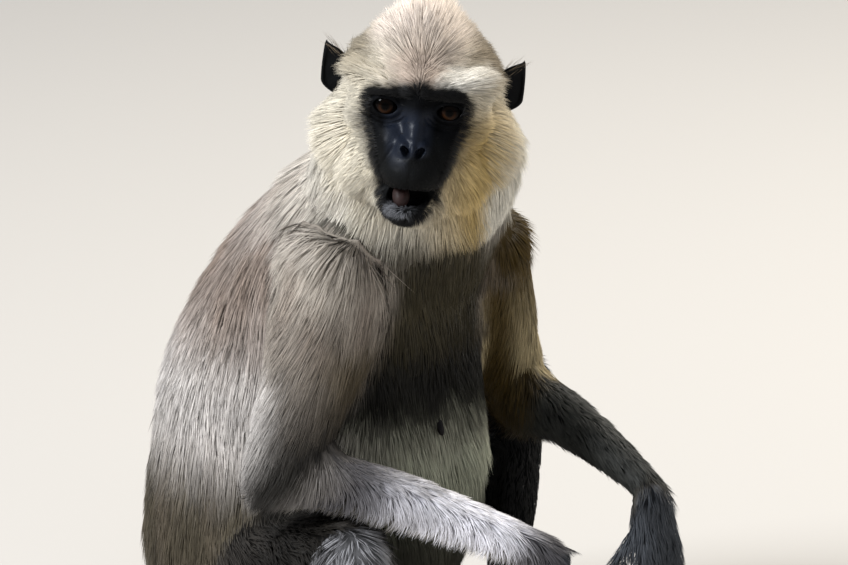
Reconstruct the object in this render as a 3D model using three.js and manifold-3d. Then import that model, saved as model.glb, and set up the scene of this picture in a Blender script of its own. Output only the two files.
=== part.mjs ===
// A tufted grey langur, an adult, life size, sitting on the ground with its forearms over its knees.
//
// Millimetres, +Z up. The origin is on the ground under the seat. The face looks along -Y, so +X is to
// the animal's left as it faces that way. The hips face a quarter turn to the left of the face, the
// shoulders are half way between, and the tail lies on the ground along +Y.
//
// Every limb, the trunk and the tail are lofts: rings of an oval section along a smooth line. The head
// is the surface of a blend of ellipsoids, met by rays from its middle. The sizes run to the tips of the
// coat. Each piece is cut by the grown shape of the pieces made before it, so that no two overlap.

import * as THREE from "three";
import { mergeVertices } from "three/addons/utils/BufferGeometryUtils.js";
import Module from "manifold-3d";

const wasm = await Module();
wasm.setup();

// ---------------------------------------------------------------- driving dimensions

const gap = 0.4; // clearance between neighbouring pieces
const floorSink = 1.4; // how far a resting piece is pressed into the ground before it is cut flat

const hipHeading = 62; // degrees that each level of the body is turned from -Y towards +X
const bellyHeading = 58;
const shoulderHeading = 42;

const head = { eyes: v(83, -219, 424), yaw: -3, pitch: 4, roll: 5.5 };
const eye = { radius: 9.4, apart: 39, depth: 7.6 };

const pelvis = v(6, -6, 76);
const hipHalfWidth = 42;

const limbs = {
  right: {
    shoulder: v(38, -136, 316),
    elbow: v(-1, -165, 180),
    wrist: v(164, -199, 138),
    hip: pelvis.clone().addScaledVector(leftOf(hipHeading), -hipHalfWidth),
    knee: v(40, -194, 128),
    ankle: v(84, -92, 27),
    handHeading: 40,
    footHeading: 12,
  },
  left: {
    shoulder: v(122, -50, 300),
    elbow: v(145, 24, 180),
    wrist: v(228, -112, 155),
    hip: pelvis.clone().addScaledVector(leftOf(hipHeading), hipHalfWidth),
    knee: v(146, 92, 170),
    ankle: v(141, 6, 27),
    handHeading: 35,
    footHeading: 88,
  },
};

// Half widths of the trunk at its levels: side is to left and right, front and back are along its heading.
const trunkLevels = [
  { at: v(2, 2, 16), side: 74, front: 70, back: 74, heading: hipHeading },
  { at: v(4, -4, 48), side: 90, front: 96, back: 98, heading: hipHeading },
  { at: v(8, -12, 98), side: 92, front: 118, back: 110, heading: hipHeading },
  { at: v(14, -24, 150), side: 90, front: 126, back: 112, heading: bellyHeading },
  { at: v(25, -40, 208), side: 87, front: 108, back: 116, heading: bellyHeading },
  { at: v(41, -60, 262), side: 84, front: 84, back: 114, heading: 50 },
  { at: v(60, -82, 310), side: 82, front: 76, back: 106, heading: shoulderHeading },
  { at: v(74, -102, 346), side: 72, front: 66, back: 92, heading: 36 },
  { at: v(84, -120, 376), side: 58, front: 54, back: 72, heading: 26 },
];
const neckLevels = [
  { at: v(74, -106, 330), side: 68, front: 60, back: 68, heading: 34 },
  { at: v(82, -124, 360), side: 70, front: 57, back: 64, heading: 26 },
  { at: v(84, -142, 388), side: 66, front: 50, back: 53, heading: 12 },
  { at: v(84, -156, 414), side: 50, front: 38, back: 44, heading: 0 },
];

// Flat cuts across the trunk, each leaning forwards by some degrees along its heading.
const waist = { at: v(20, -34, 178), lean: 14, heading: bellyHeading };
const collar = { at: v(80, -116, 350), lean: 24, heading: 20 };

const upperArm = { girth: [40, 38, 34, 31, 28], sag: 0 };
const foreArm = { girth: [27, 25, 22, 19, 16], sag: 5 };
const thigh = { girth: [54, 52, 46, 38, 31], sag: 0 };
const shank = { girth: [28, 27, 25, 20, 16], sag: 0 };

const palm = { length: 58, halfWidth: 17, halfThick: 9 };
const finger = { lengths: [52, 64, 66, 56], radius: 6, tip: 4.2, curl: 16 };
const thumb = { length: 32, radius: 5.4, from: 0.42 };

const sole = { length: 88, halfWidth: 18, heel: 15, ball: 10 };
const toe = { lengths: [40, 46, 44, 38], radius: 6, tip: 4.4 };
const bigToe = { length: 34, radius: 7 };

const tailLine = [
  v(-58, 36, 62),
  v(-76, 62, 30),
  v(-82, 106, 13),
  v(-80, 176, 13),
  v(-62, 262, 13),
  v(-30, 350, 12),
  v(6, 440, 12),
  v(36, 530, 11),
  v(48, 620, 11),
  v(36, 706, 11),
];
const tailGirth = [22, 18, 14.4, 14, 13.6, 13.2, 12.8, 12.4, 12.4, 12.6];
const tailPieces = ["tail_root", "tail_middle", "tail_end", "tail_tip"];

// ---------------------------------------------------------------- small helpers

function v(x, y, z) {
  return new THREE.Vector3(x, y, z);
}

// The way that a body turned by this many degrees faces, and the way of its left side.
function facing(degrees) {
  const a = THREE.MathUtils.degToRad(degrees);
  return v(Math.sin(a), -Math.cos(a), 0);
}

function leftOf(degrees) {
  const a = THREE.MathUtils.degToRad(degrees);
  return v(Math.cos(a), Math.sin(a), 0);
}

function closedGeometry(positions, faces) {
  const made = new THREE.BufferGeometry();
  made.setAttribute("position", new THREE.Float32BufferAttribute(positions, 3));
  made.setIndex(faces);
  return made;
}

// A solid for joining and cutting, from a closed geometry, and back again.
function solid(geometry) {
  const bare = geometry.clone();
  bare.deleteAttribute("normal");
  bare.deleteAttribute("uv");
  const merged = mergeVertices(bare, 1e-3);
  return new wasm.Manifold(
    new wasm.Mesh({
      numProp: 3,
      vertProperties: merged.attributes.position.array,
      triVerts: new Uint32Array(merged.index.array),
    }),
  );
}

function geometryOf(made) {
  const mesh = made.getMesh();
  return closedGeometry(Array.from(mesh.vertProperties), Array.from(mesh.triVerts));
}

function largestBody(made) {
  return made.decompose().sort((a, b) => b.volume() - a.volume())[0];
}

// A block whose base is centred on a point, with its height along a direction.
function block(base, direction, wide = 3000, high = 400) {
  const box = new THREE.BoxGeometry(wide, wide, high).translate(0, 0, high / 2);
  box.applyQuaternion(new THREE.Quaternion().setFromUnitVectors(v(0, 0, 1), direction));
  box.translate(base.x, base.y, base.z);
  return solid(box);
}

// ---------------------------------------------------------------- lofts

// Rings of an oval section along a smooth line through the levels. A level has the centre of its ring, its
// half widths to the side, front and back, and the way that its front faces. Rings are square to the line,
// or level if upright is set. The ends are domes whose height is a share of the end ring's side.
function loft(
  levels,
  { sides = 12, rings = 12, startDome = 0.7, endDome = 0.7, domeRings = 2, upright = false, grow = 0 } = {},
) {
  const line = new THREE.CatmullRomCurve3(levels.map((l) => l.at));
  const widths = new THREE.CatmullRomCurve3(levels.map((l) => v(l.side, l.front, l.back)));
  const fronts = new THREE.CatmullRomCurve3(levels.map((l) => l.faces ?? facing(l.heading)));
  const positions = [];
  const alongAt = (share) => (upright ? v(0, 0, 1) : line.getTangent(share).normalize());
  const addRing = (share, offset, shrink) => {
    const along = alongAt(share);
    const front = fronts.getPoint(share).projectOnPlane(along).normalize();
    const side = new THREE.Vector3().crossVectors(front, along);
    const width = widths.getPoint(share).addScalar(grow);
    const centre = line.getPoint(share).addScaledVector(along, offset);
    for (let i = 0; i < sides; i++) {
      const a = (2 * Math.PI * i) / sides;
      const deep = Math.sin(a) > 0 ? width.y : width.z;
      const p = centre
        .clone()
        .addScaledVector(side, Math.cos(a) * width.x * shrink)
        .addScaledVector(front, Math.sin(a) * deep * shrink);
      positions.push(p.x, p.y, p.z);
    }
  };
  const addPole = (share, offset) => {
    const p = line.getPoint(share).addScaledVector(alongAt(share), offset);
    positions.push(p.x, p.y, p.z);
  };
  const domeAngle = (k) => (Math.PI / 2) * (k / (domeRings + 1));
  const startHeight = levels[0].side * startDome + grow;
  const endHeight = levels.at(-1).side * endDome + grow;
  addPole(0, -startHeight);
  for (let k = domeRings; k > 0; k--) {
    addRing(0, -startHeight * Math.sin(domeAngle(k)), Math.cos(domeAngle(k)));
  }
  for (let i = 0; i <= rings; i++) addRing(i / rings, 0, 1);
  for (let k = 1; k <= domeRings; k++) {
    addRing(1, endHeight * Math.sin(domeAngle(k)), Math.cos(domeAngle(k)));
  }
  addPole(1, endHeight);

  const ringCount = rings + 1 + 2 * domeRings;
  const last = 1 + ringCount * sides;
  const at = (ring, i) => 1 + ring * sides + (i % sides);
  const faces = [];
  for (let i = 0; i < sides; i++) {
    faces.push(0, at(0, i + 1), at(0, i));
    faces.push(last, at(ringCount - 1, i), at(ringCount - 1, i + 1));
  }
  for (let r = 0; r + 1 < ringCount; r++) {
    for (let i = 0; i < sides; i++) {
      faces.push(at(r, i), at(r, i + 1), at(r + 1, i + 1));
      faces.push(at(r, i), at(r + 1, i + 1), at(r + 1, i));
    }
  }
  return closedGeometry(positions, faces);
}

// A limb between two joints, with evenly spaced girths. Sag lets its middle hang below the straight line.
function limbLevels(from, to, { girth, sag }, faces) {
  return girth.map((g, i) => {
    const share = i / (girth.length - 1);
    const at = from.clone().lerp(to, share);
    at.z += sag * Math.sin(Math.PI * share);
    return { at, side: g, front: g, back: g, faces };
  });
}

// ---------------------------------------------------------------- head

// The head's own frame: its origin is between the eyes, -Y is the way the face looks and +Z is up.
function headMatrix() {
  const down = THREE.MathUtils.degToRad(head.pitch);
  const forward = facing(head.yaw).multiplyScalar(Math.cos(down));
  forward.z = -Math.sin(down);
  const back = forward.clone().negate();
  const tilt = THREE.MathUtils.degToRad(head.roll);
  const left = v(Math.cos(tilt), 0, -Math.sin(tilt)).projectOnPlane(back).normalize();
  const up = new THREE.Vector3().crossVectors(left, back);
  return new THREE.Matrix4().makeBasis(left, back, up).setPosition(head.eyes);
}

const toWorld = headMatrix();

// Ellipsoids of the head with its coat: middle, half sizes.
const headForms = [
  { at: v(0, 52, 4), half: v(49, 54, 42) }, // skull with its coat
  { at: v(0, 44, 22), half: v(29, 36, 38) }, // crown, combed up to a crest
  { at: v(0, 49, -32), half: v(64, 42, 44) }, // whiskers of the cheeks
  { at: v(0, 20, -1), half: v(38, 20, 22) }, // orbits
  { at: v(-20, 8, 13), half: v(18, 13, 9) }, // brow, right
  { at: v(20, 8, 13), half: v(18, 13, 9) }, // brow, left
  { at: v(0, 4, 12), half: v(14, 12, 8) }, // between the brows
  { at: v(0, 4, -6), half: v(8, 12, 16) }, // bridge of the nose
  { at: v(0, -4, -20), half: v(12, 14, 11) }, // nose
  { at: v(-19, 14, -20), half: v(15, 16, 18) }, // cheek, right
  { at: v(19, 14, -20), half: v(15, 16, 18) }, // cheek, left
  { at: v(0, 4, -38), half: v(23, 27, 18) }, // muzzle
  { at: v(0, 7, -58), half: v(18, 23, 16) }, // chin and lower jaw
];
const headBlend = 9;

// Hollows in it: the sockets of the eyes and the mouth, which hangs a little open.
const sockets = [-1, 1].map((sign) => ({ at: v(sign * 20, -5, 0), half: v(12.5, 11, 7.5) }));
const socketBlend = 4;

function ellipsoidDistance(p, { at, half }) {
  const q = p.clone().sub(at).divide(half);
  const near = q.length();
  const steep = q.divide(half).length();
  return (near * (near - 1)) / Math.max(steep, 1e-9);
}

function smoothLeast(a, b, k) {
  const h = Math.max(k - Math.abs(a - b), 0) / k;
  return Math.min(a, b) - (h * h * k) / 4;
}

function headDistance(p) {
  const full = headForms.reduce((least, form) => smoothLeast(least, ellipsoidDistance(p, form), headBlend), 1e3);
  return sockets.reduce((most, form) => -smoothLeast(-most, ellipsoidDistance(p, form), socketBlend), full);
}

// How far along a ray from the head's middle its surface is, found by halving.
function rayLength(from, direction) {
  let inside = 0;
  let outside = 160;
  const at = (t) => from.clone().addScaledVector(direction, t);
  while (outside > 6 && headDistance(at(outside - 6)) > 0) outside -= 6;
  inside = outside - 6;
  for (let i = 0; i < 20; i++) {
    const middle = (inside + outside) / 2;
    if (headDistance(at(middle)) > 0) outside = middle;
    else inside = middle;
  }
  return inside;
}

// The surface of the head. Its points lie closer together on the face than at the back.
function headShell({ grow = 0, detail = 7, faceShare = 0.36 } = {}) {
  const middle = v(0, 34, -14);
  const ball = new THREE.IcosahedronGeometry(1, detail);
  ball.deleteAttribute("normal");
  ball.deleteAttribute("uv");
  const shell = mergeVertices(ball, 1e-5);
  const place = shell.attributes.position;
  for (let i = 0; i < place.count; i++) {
    const direction = new THREE.Vector3().fromBufferAttribute(place, i).normalize();
    const away = direction.angleTo(v(0, -1, 0));
    direction.applyAxisAngle(v(direction.z, 0, -direction.x).normalize(), faceShare * Math.sin(away));
    const p = middle.clone().addScaledVector(direction, rayLength(middle, direction) + grow);
    place.setXYZ(i, p.x, p.y, p.z);
  }
  return shell.applyMatrix4(toWorld);
}

function ball(radius, at, detail = 4, half = v(1, 1, 1)) {
  const made = new THREE.IcosahedronGeometry(radius, detail);
  made.scale(half.x, half.y, half.z);
  made.translate(at.x, at.y, at.z);
  return made.applyMatrix4(toWorld);
}

const mouth = { at: v(-1, -20, -49.5), half: v(13, 16, 5.4) };
const tongue = { at: v(-2, -3.5, -51.8), half: v(8, 9, 2.6) };

function eyePlace(sign) {
  return v((sign * eye.apart) / 2, eye.depth, 0);
}

// An ear is a ball pressed flat, cupped forwards and drawn out to a point at its upper outer corner.
function earShell(sign, { grow = 0 } = {}) {
  const halfHeight = 17;
  const halfWidth = 13;
  const halfThick = 2.2;
  const made = new THREE.SphereGeometry(1, 10, 8);
  made.rotateX(Math.PI / 2);
  const place = made.attributes.position;
  for (let i = 0; i < place.count; i++) {
    const p = new THREE.Vector3().fromBufferAttribute(place, i);
    const point = Math.max(0, p.z) ** 2;
    const across = p.x * (halfWidth + grow) * (1 - 0.25 * point);
    const x = 51.5 + across + 9 * point + 1.5 * p.z;
    const y = 64 + p.y * (halfThick + grow) - 0.03 * across ** 2 + 4 * p.x - 3 * point;
    const z = 0.5 + p.z * (halfHeight + grow) + 1.5 * point;
    place.setXYZ(i, sign * x, y, z);
  }
  if (sign < 0) flipFaces(made);
  return made.applyMatrix4(toWorld);
}

function flipFaces(geometry) {
  const index = geometry.index.array;
  for (let i = 0; i < index.length; i += 3) [index[i + 1], index[i + 2]] = [index[i + 2], index[i + 1]];
}

// ---------------------------------------------------------------- hands and feet

// A finger or toe: a thin loft that bends steadily towards the palm.
function digit(root, along, inwards, length, radius, tip, bend, grow) {
  const levels = [];
  const turnAxis = new THREE.Vector3().crossVectors(along, inwards).normalize();
  const way = along.clone().normalize();
  const at = root.clone();
  const steps = 3;
  for (let i = 0; i <= steps; i++) {
    const r = THREE.MathUtils.lerp(radius, tip, i / steps);
    levels.push({ at: at.clone(), side: r, front: r, back: r, faces: inwards });
    at.addScaledVector(way, length / steps);
    way.applyAxisAngle(turnAxis, THREE.MathUtils.degToRad(bend));
  }
  return solid(loft(levels, { sides: 5, rings: 2, startDome: 0.8, endDome: 1, domeRings: 1, grow }));
}

// A hand that hangs from the wrist: palm, four long fingers and a short thumb, joined in one solid. The
// palm faces back towards the legs, and spread is the way from the little finger to the thumb.
function hand(limb, sign, grow = 0) {
  const back = facing(limb.handHeading);
  const down = back.clone().multiplyScalar(0.3).add(v(0, 0, -1)).normalize();
  const inwards = back.clone().negate().projectOnPlane(down).normalize();
  const spread = new THREE.Vector3().crossVectors(down, inwards).multiplyScalar(-sign);
  const along = (share, side, lift = 0) =>
    limb.wrist
      .clone()
      .addScaledVector(down, palm.length * share)
      .addScaledVector(spread, palm.halfWidth * side)
      .addScaledVector(inwards, lift);
  const section = (share, wide, thick) => ({
    at: along(share, 0),
    side: palm.halfWidth * wide,
    front: palm.halfThick * thick,
    back: palm.halfThick * thick,
    faces: inwards,
  });
  const levels = [section(0, 0.82, 1.35), section(0.35, 0.86, 1.15), section(0.7, 1, 1), section(1, 0.98, 0.85)];
  let made = solid(loft(levels, { sides: 10, rings: 3, startDome: 0.5, endDome: 0.3, domeRings: 1, grow }));
  finger.lengths.forEach((length, i) => {
    const side = 0.78 - (i / (finger.lengths.length - 1)) * 1.56;
    const way = down.clone().addScaledVector(spread, side * 0.16);
    const root = along(0.94, side);
    made = made.add(digit(root, way, inwards, length, finger.radius, finger.tip, finger.curl, grow));
  });
  const thumbWay = down.clone().addScaledVector(spread, 0.75).addScaledVector(inwards, 0.35);
  const thumbRoot = along(thumb.from, 0.55, 2);
  return made.add(digit(thumbRoot, thumbWay, inwards, thumb.length, thumb.radius, finger.tip, 8, grow));
}

// A foot flat on the ground: heel, long sole, four toes and a big toe set apart like a thumb.
function foot(limb, sign, grow = 0) {
  const ahead = facing(limb.footHeading);
  const inner = leftOf(limb.footHeading).multiplyScalar(-sign);
  const up = v(0, 0, 1);
  const place = (forward, side, height) =>
    v(limb.ankle.x, limb.ankle.y, 0)
      .addScaledVector(ahead, forward)
      .addScaledVector(inner, side)
      .addScaledVector(up, height - floorSink);
  const section = (forward, wide, high) => ({
    at: place(forward, 0, high),
    side: wide,
    front: high,
    back: high,
    faces: up,
  });
  const levels = [
    section(-22, 13, sole.heel * 0.85),
    section(-8, 15, sole.heel),
    section(sole.length * 0.4, 15, sole.heel * 0.86),
    section(sole.length - 22, sole.halfWidth, sole.ball),
  ];
  let made = solid(loft(levels, { sides: 10, rings: 4, startDome: 0.6, endDome: 0.4, domeRings: 1, grow }));
  toe.lengths.forEach((length, i) => {
    const side = 12.5 - i * 8.6;
    const way = ahead.clone().addScaledVector(inner, side * 0.006);
    const root = place(sole.length - 26, side, toe.radius + 2.4);
    made = made.add(digit(root, way, up.clone().negate(), length + 14, toe.radius, toe.tip, 3, grow));
  });
  const bigWay = ahead.clone().addScaledVector(inner, 0.8);
  const bigRoot = place(26, 9, bigToe.radius + 0.6);
  made = made.add(digit(bigRoot, bigWay, up.clone().negate(), bigToe.length, bigToe.radius, 5.6, 2, grow));
  return made;
}

// ---------------------------------------------------------------- the pieces, each as a function of grow

const trunkShape = (grow) =>
  solid(loft(trunkLevels, { sides: 20, rings: 12, startDome: 0.24, endDome: 0.4, upright: true, grow }));
const limbShape = (from, to, form, faces, options) => (grow) =>
  solid(loft(limbLevels(from, to, form, faces), { ...options, grow }));

// Everything on one side of a flat cut: sign 1 is above it and -1 below.
function besideCut({ at, lean, heading }, sign, grow) {
  const steep = THREE.MathUtils.degToRad(lean);
  const away = facing(heading).multiplyScalar(Math.sin(steep)).add(v(0, 0, Math.cos(steep)));
  away.multiplyScalar(sign);
  return block(at.clone().addScaledVector(away, gap / 2 - grow), away);
}

function tailShape(piece, grow) {
  const perPiece = (tailLine.length - 1) / tailPieces.length;
  const line = new THREE.CatmullRomCurve3(tailLine);
  const girths = new THREE.CatmullRomCurve3(tailGirth.map((g) => v(g, 0, 0)));
  const levels = [];
  const steps = 5;
  for (let i = 0; i <= steps; i++) {
    const share = ((piece + i / steps) * perPiece) / (tailLine.length - 1);
    const girth = girths.getPoint(share).x;
    const at = line.getPoint(share);
    at.z = Math.max(at.z, girth - floorSink);
    levels.push({ at, side: girth, front: girth, back: girth, faces: v(0, 0, 1) });
  }
  const isTip = piece === tailPieces.length - 1;
  return solid(loft(levels, { sides: 8, rings: 4, startDome: 0.4, endDome: isTip ? 2.2 : 0.4, domeRings: 1, grow }));
}

const warmGrey = 0x9d9186;
const cream = 0xd9cfb4;
const darkGrey = 0x4b4a4b;
const blackSkin = 0x1b1b1e;

const pieces = [
  { name: "head", group: "head", colour: cream, shape: headShape },
  { name: "abdomen", group: "trunk", colour: warmGrey, shape: (grow) => trunkShape(grow).intersect(besideCut(waist, -1, grow)) },
  { name: "chest", group: "trunk", colour: warmGrey, shape: chestShape },
  { name: "neck", group: "head", colour: cream, shape: neckShape },
];

function chestShape(grow) {
  return trunkShape(grow).intersect(besideCut(waist, 1, grow)).intersect(besideCut(collar, -1, grow));
}

function neckShape(grow) {
  const full = solid(loft(neckLevels, { sides: 18, rings: 5, startDome: 0.3, endDome: 0.2, domeRings: 1, grow }));
  return full.add(trunkShape(grow)).intersect(besideCut(collar, 1, grow));
}

function headShape(grow) {
  if (grow) return solid(headShell({ grow: grow + 1.2, detail: 4, faceShare: 0 }));
  const shell = solid(headShell());
  const slot = new THREE.IcosahedronGeometry(1, 2);
  slot.scale(mouth.half.x, mouth.half.y, mouth.half.z);
  slot.translate(mouth.at.x, mouth.at.y, mouth.at.z);
  return shell.subtract(solid(slot.applyMatrix4(toWorld)));
}

for (const [side, limb] of Object.entries(limbs)) {
  const sign = side === "left" ? 1 : -1;
  const outwards = leftOf(shoulderHeading).multiplyScalar(sign);
  const add = (name, group, colour, shape, roughness) => pieces.push({ name: `${name}_${side}`, group, colour, shape, roughness });
  const arm = `arm_${side}`;
  const leg = `leg_${side}`;
  add("eye", "head", 0x5a2f12, (grow) => solid(ball(eye.radius + grow, eyePlace(sign), 2)), 0.1);
  add("ear", "head", blackSkin, (grow) => solid(earShell(sign, { grow })));
  add("thigh", leg, warmGrey, limbShape(limb.hip, limb.knee, thigh, v(0, 0, 1), { sides: 12, rings: 4 }));
  add("shank", leg, darkGrey, limbShape(limb.knee, limb.ankle, shank, outwards, { sides: 8, rings: 4, startDome: 0.8, endDome: 0.4 }));
  add("foot", leg, blackSkin, (grow) => foot(limb, sign, grow));
  add("upper_arm", arm, warmGrey, limbShape(limb.shoulder, limb.elbow, upperArm, outwards, { sides: 10, rings: 4, endDome: 0.8 }));
  add("forearm", arm, darkGrey, limbShape(limb.elbow, limb.wrist, foreArm, v(0, 0, 1), { sides: 8, rings: 5, startDome: 0.9, endDome: 0.4 }));
  add("hand", arm, blackSkin, (grow) => hand(limb, sign, grow));
}
pieces.push({ name: "tongue", group: "head", colour: 0x8a4a42, shape: (grow) => tongueShape(grow) });
tailPieces.forEach((name, i) => {
  pieces.push({ name, group: "tail", colour: warmGrey, shape: (grow) => tailShape(i, grow) });
});

function tongueShape(grow) {
  const made = new THREE.IcosahedronGeometry(1, 1);
  made.scale(tongue.half.x + grow, tongue.half.y + grow, tongue.half.z + grow);
  made.translate(tongue.at.x, tongue.at.y, tongue.at.z);
  return solid(made.applyMatrix4(toWorld));
}

// The order of cutting: a piece gives way to every piece that comes before it in this list.
const cutFirst = ["eye_right", "eye_left", "tongue", "ear_right", "ear_left", "head"];

function assemble() {
  const rank = (piece) => (cutFirst.includes(piece.name) ? cutFirst.indexOf(piece.name) : cutFirst.length);
  const ordered = [...pieces].sort((a, b) => rank(a) - rank(b));
  const ground = block(v(0, 0, 0), v(0, 0, -1));
  const placed = [];
  for (const piece of ordered) {
    let made = piece.shape(0).subtract(ground);
    const box = made.boundingBox();
    for (const other of placed) {
      const near = [0, 1, 2].every((k) => other.box.min[k] < box.max[k] + gap && other.box.max[k] > box.min[k] - gap);
      if (near) made = made.subtract(other.grown);
    }
    made = largestBody(made);
    placed.push({ box: made.boundingBox(), grown: piece.shape(gap) });
    piece.made = made;
  }
}

assemble();

const langur = new THREE.Group();
langur.name = "langur";
const groups = {};
for (const piece of pieces) {
  const geometry = geometryOf(piece.made);
  const flat = geometry.toNonIndexed();
  flat.computeVertexNormals();
  const material = new THREE.MeshStandardMaterial({ color: piece.colour, roughness: piece.roughness ?? 0.9, metalness: 0 });
  const mesh = new THREE.Mesh(flat, material);
  mesh.name = piece.name;
  groups[piece.group] ??= new THREE.Group();
  groups[piece.group].add(mesh);
}
for (const [name, group] of Object.entries(groups)) {
  group.name = name;
  langur.add(group);
}

export default langur;
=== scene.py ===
import math
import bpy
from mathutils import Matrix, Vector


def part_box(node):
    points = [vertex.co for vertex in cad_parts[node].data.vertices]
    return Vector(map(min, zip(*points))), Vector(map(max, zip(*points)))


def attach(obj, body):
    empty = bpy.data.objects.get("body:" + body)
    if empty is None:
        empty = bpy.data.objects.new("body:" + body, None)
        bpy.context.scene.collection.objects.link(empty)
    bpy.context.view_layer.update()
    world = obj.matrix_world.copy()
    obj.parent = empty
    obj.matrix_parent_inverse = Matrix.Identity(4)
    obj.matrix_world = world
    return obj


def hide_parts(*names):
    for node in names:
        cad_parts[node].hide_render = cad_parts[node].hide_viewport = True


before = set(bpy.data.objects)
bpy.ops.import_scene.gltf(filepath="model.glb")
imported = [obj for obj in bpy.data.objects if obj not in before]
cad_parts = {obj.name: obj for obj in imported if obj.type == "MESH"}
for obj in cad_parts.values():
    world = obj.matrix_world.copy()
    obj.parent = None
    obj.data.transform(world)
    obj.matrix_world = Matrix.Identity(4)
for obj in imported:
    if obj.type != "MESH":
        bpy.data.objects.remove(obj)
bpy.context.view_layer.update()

from types import SimpleNamespace

import bmesh
import bpy
import numpy as np
from mathutils import Matrix, Vector
from mathutils.bvhtree import BVHTree
from mathutils.kdtree import KDTree

mm = 0.001
rng = np.random.default_rng(7)
sides = ("right", "left")


def newPaint(name, roughness):
    paint = bpy.data.materials.new(name)
    paint.use_nodes = True
    shader = paint.node_tree.nodes["Principled BSDF"]
    shader.inputs["Roughness"].default_value = roughness
    return paint, paint.node_tree, shader


def makeObject(name, shape):
    data = bpy.data.meshes.new(name)
    shape.to_mesh(data)
    shape.free()
    made = bpy.data.objects.new(name, data)
    bpy.context.collection.objects.link(made)
    return made


view = {
    "aim": (0.087, -0.060, 0.273),
    "distance": 4.0,
    "elevation": 15,
    "lens": 267.4,
    "sensor": 36,
}


def makeCamera():
    steep = math.radians(view["elevation"])
    away = Vector((0, -math.cos(steep), math.sin(steep)))
    data = bpy.data.cameras.new("camera")
    data.lens = view["lens"]
    data.sensor_width = view["sensor"]
    data.clip_end = 100
    camera = bpy.data.objects.new("camera", data)
    camera.location = Vector(view["aim"]) + away * view["distance"]
    camera.rotation_euler = (-away).to_track_quat("-Z", "Y").to_euler()
    bpy.context.collection.objects.link(camera)
    bpy.context.scene.camera = camera


studio = {
    "aim": (0.06, -0.05, 0.28),
    "sky": (0.95, 0.97, 1.0, 1),
    "skyPower": 0.5,
    "floor": (0.46, 0.445, 0.425, 1),
    "floorRoughness": 0.9,
    "floorSize": 12,
}
# Each lamp's place, size, power and colour.
lamps = {
    "key": ((-2.7, -1.5, 2.4), 1.3, 190, (0.95, 0.97, 1.0)),
    "rim": ((1.6, 1.3, 2.4), 0.8, 95, (1.0, 0.94, 0.84)),
    "fill": ((1.8, -3.0, 1.2), 2.0, 16, (1.0, 0.98, 0.95)),
}


def makeLamp(name, place, size, power, colour):
    data = bpy.data.lights.new(name, "AREA")
    data.shape = "DISK"
    data.size = size
    data.energy = power
    data.color = colour
    lamp = bpy.data.objects.new(name, data)
    lamp.location = place
    lamp.rotation_euler = (Vector(studio["aim"]) - Vector(place)).to_track_quat("-Z", "Y").to_euler()
    lamp.visible_glossy = name != "fill"  # the broad fill lamp would show in the eyes
    bpy.context.collection.objects.link(lamp)


def makeStudio():
    for name, values in lamps.items():
        makeLamp(name, *values)
    world = bpy.data.worlds.new("studio")
    world.use_nodes = True
    background = world.node_tree.nodes["Background"]
    background.inputs["Color"].default_value = studio["sky"]
    background.inputs["Strength"].default_value = studio["skyPower"]
    bpy.context.scene.world = world
    bpy.context.scene.view_settings.view_transform = "Standard"

    square = bmesh.new()
    bmesh.ops.create_grid(square, x_segments=1, y_segments=1, size=studio["floorSize"])
    floor = makeObject("floor", square)
    paint, _, shader = newPaint("paleFloor", studio["floorRoughness"])
    shader.inputs["Base Color"].default_value = studio["floor"]
    floor.data.materials.append(paint)


makeCamera()
makeStudio()
print("camera, light and floor")


# One kind of value read from every member of a mesh's list, a row for each.
def readRows(members, value, width, kind=float):
    values = np.empty(len(members) * width, kind)
    members.foreach_get(value, values)
    return values.reshape(-1, width)


def meshPoints(data):
    return readRows(data.vertices, "co", 3)


def meshNormals(data):
    return readRows(data.vertices, "normal", 3)


def meshEdges(data):
    return readRows(data.edges, "vertices", 2, int)


def meshTriangles(data, value="vertices"):
    data.calc_loop_triangles()
    return readRows(data.loop_triangles, value, 3, int)


def nodeMesh(node):
    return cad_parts[node].data


def nodePoints(node):
    return meshPoints(nodeMesh(node))


def middle(node):
    low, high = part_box(node)
    return (Vector(low) + Vector(high)) / 2


def halfSize(node):
    low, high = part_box(node)
    return (Vector(high) - Vector(low)) / 2


headPlace = {"pitch": 4.0, "eyeDepth": 7.6}


# A frame in millimetres between the eyes: x to the animal's left, y to the back of the head, z up.
def headFrame():
    right, left = middle("eye_right"), middle("eye_left")
    across = (left - right).normalized()
    back = Vector((0, 0, 1)).cross(across).normalized()
    back = (Matrix.Rotation(math.radians(headPlace["pitch"]), 3, across) @ back).normalized()
    up = across.cross(back)
    turn = Matrix((across, back, up)).transposed().to_4x4()
    place = (left + right) / 2 - back * headPlace["eyeDepth"] * mm
    return Matrix.Translation(place) @ turn @ Matrix.Scale(mm, 4)


headToWorld = headFrame()
eyeRadius = halfSize("eye_left").x / mm
eyeApart = (middle("eye_left") - middle("eye_right")).length / mm


def toHead(points):
    back = np.array(headToWorld.inverted())
    return points @ back[:3, :3].T + back[:3, 3]


def toWorld(points):
    turn = np.array(headToWorld)
    return points @ turn[:3, :3].T + turn[:3, 3]


# A direction in the head's frame, given in the world's and still in millimetres.
def wayToWorld(ways):
    return toWorld(ways) - toWorld(np.zeros((1, 3)))


def unit(vectors):
    return vectors / np.maximum(np.linalg.norm(vectors, axis=-1, keepdims=True), 1e-12)


# From 0 at low to 1 at high, with soft ends.
def ramp(values, low, high):
    t = np.clip((values - low) / (high - low), 0, 1)
    return t * t * (3 - 2 * t)


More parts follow.
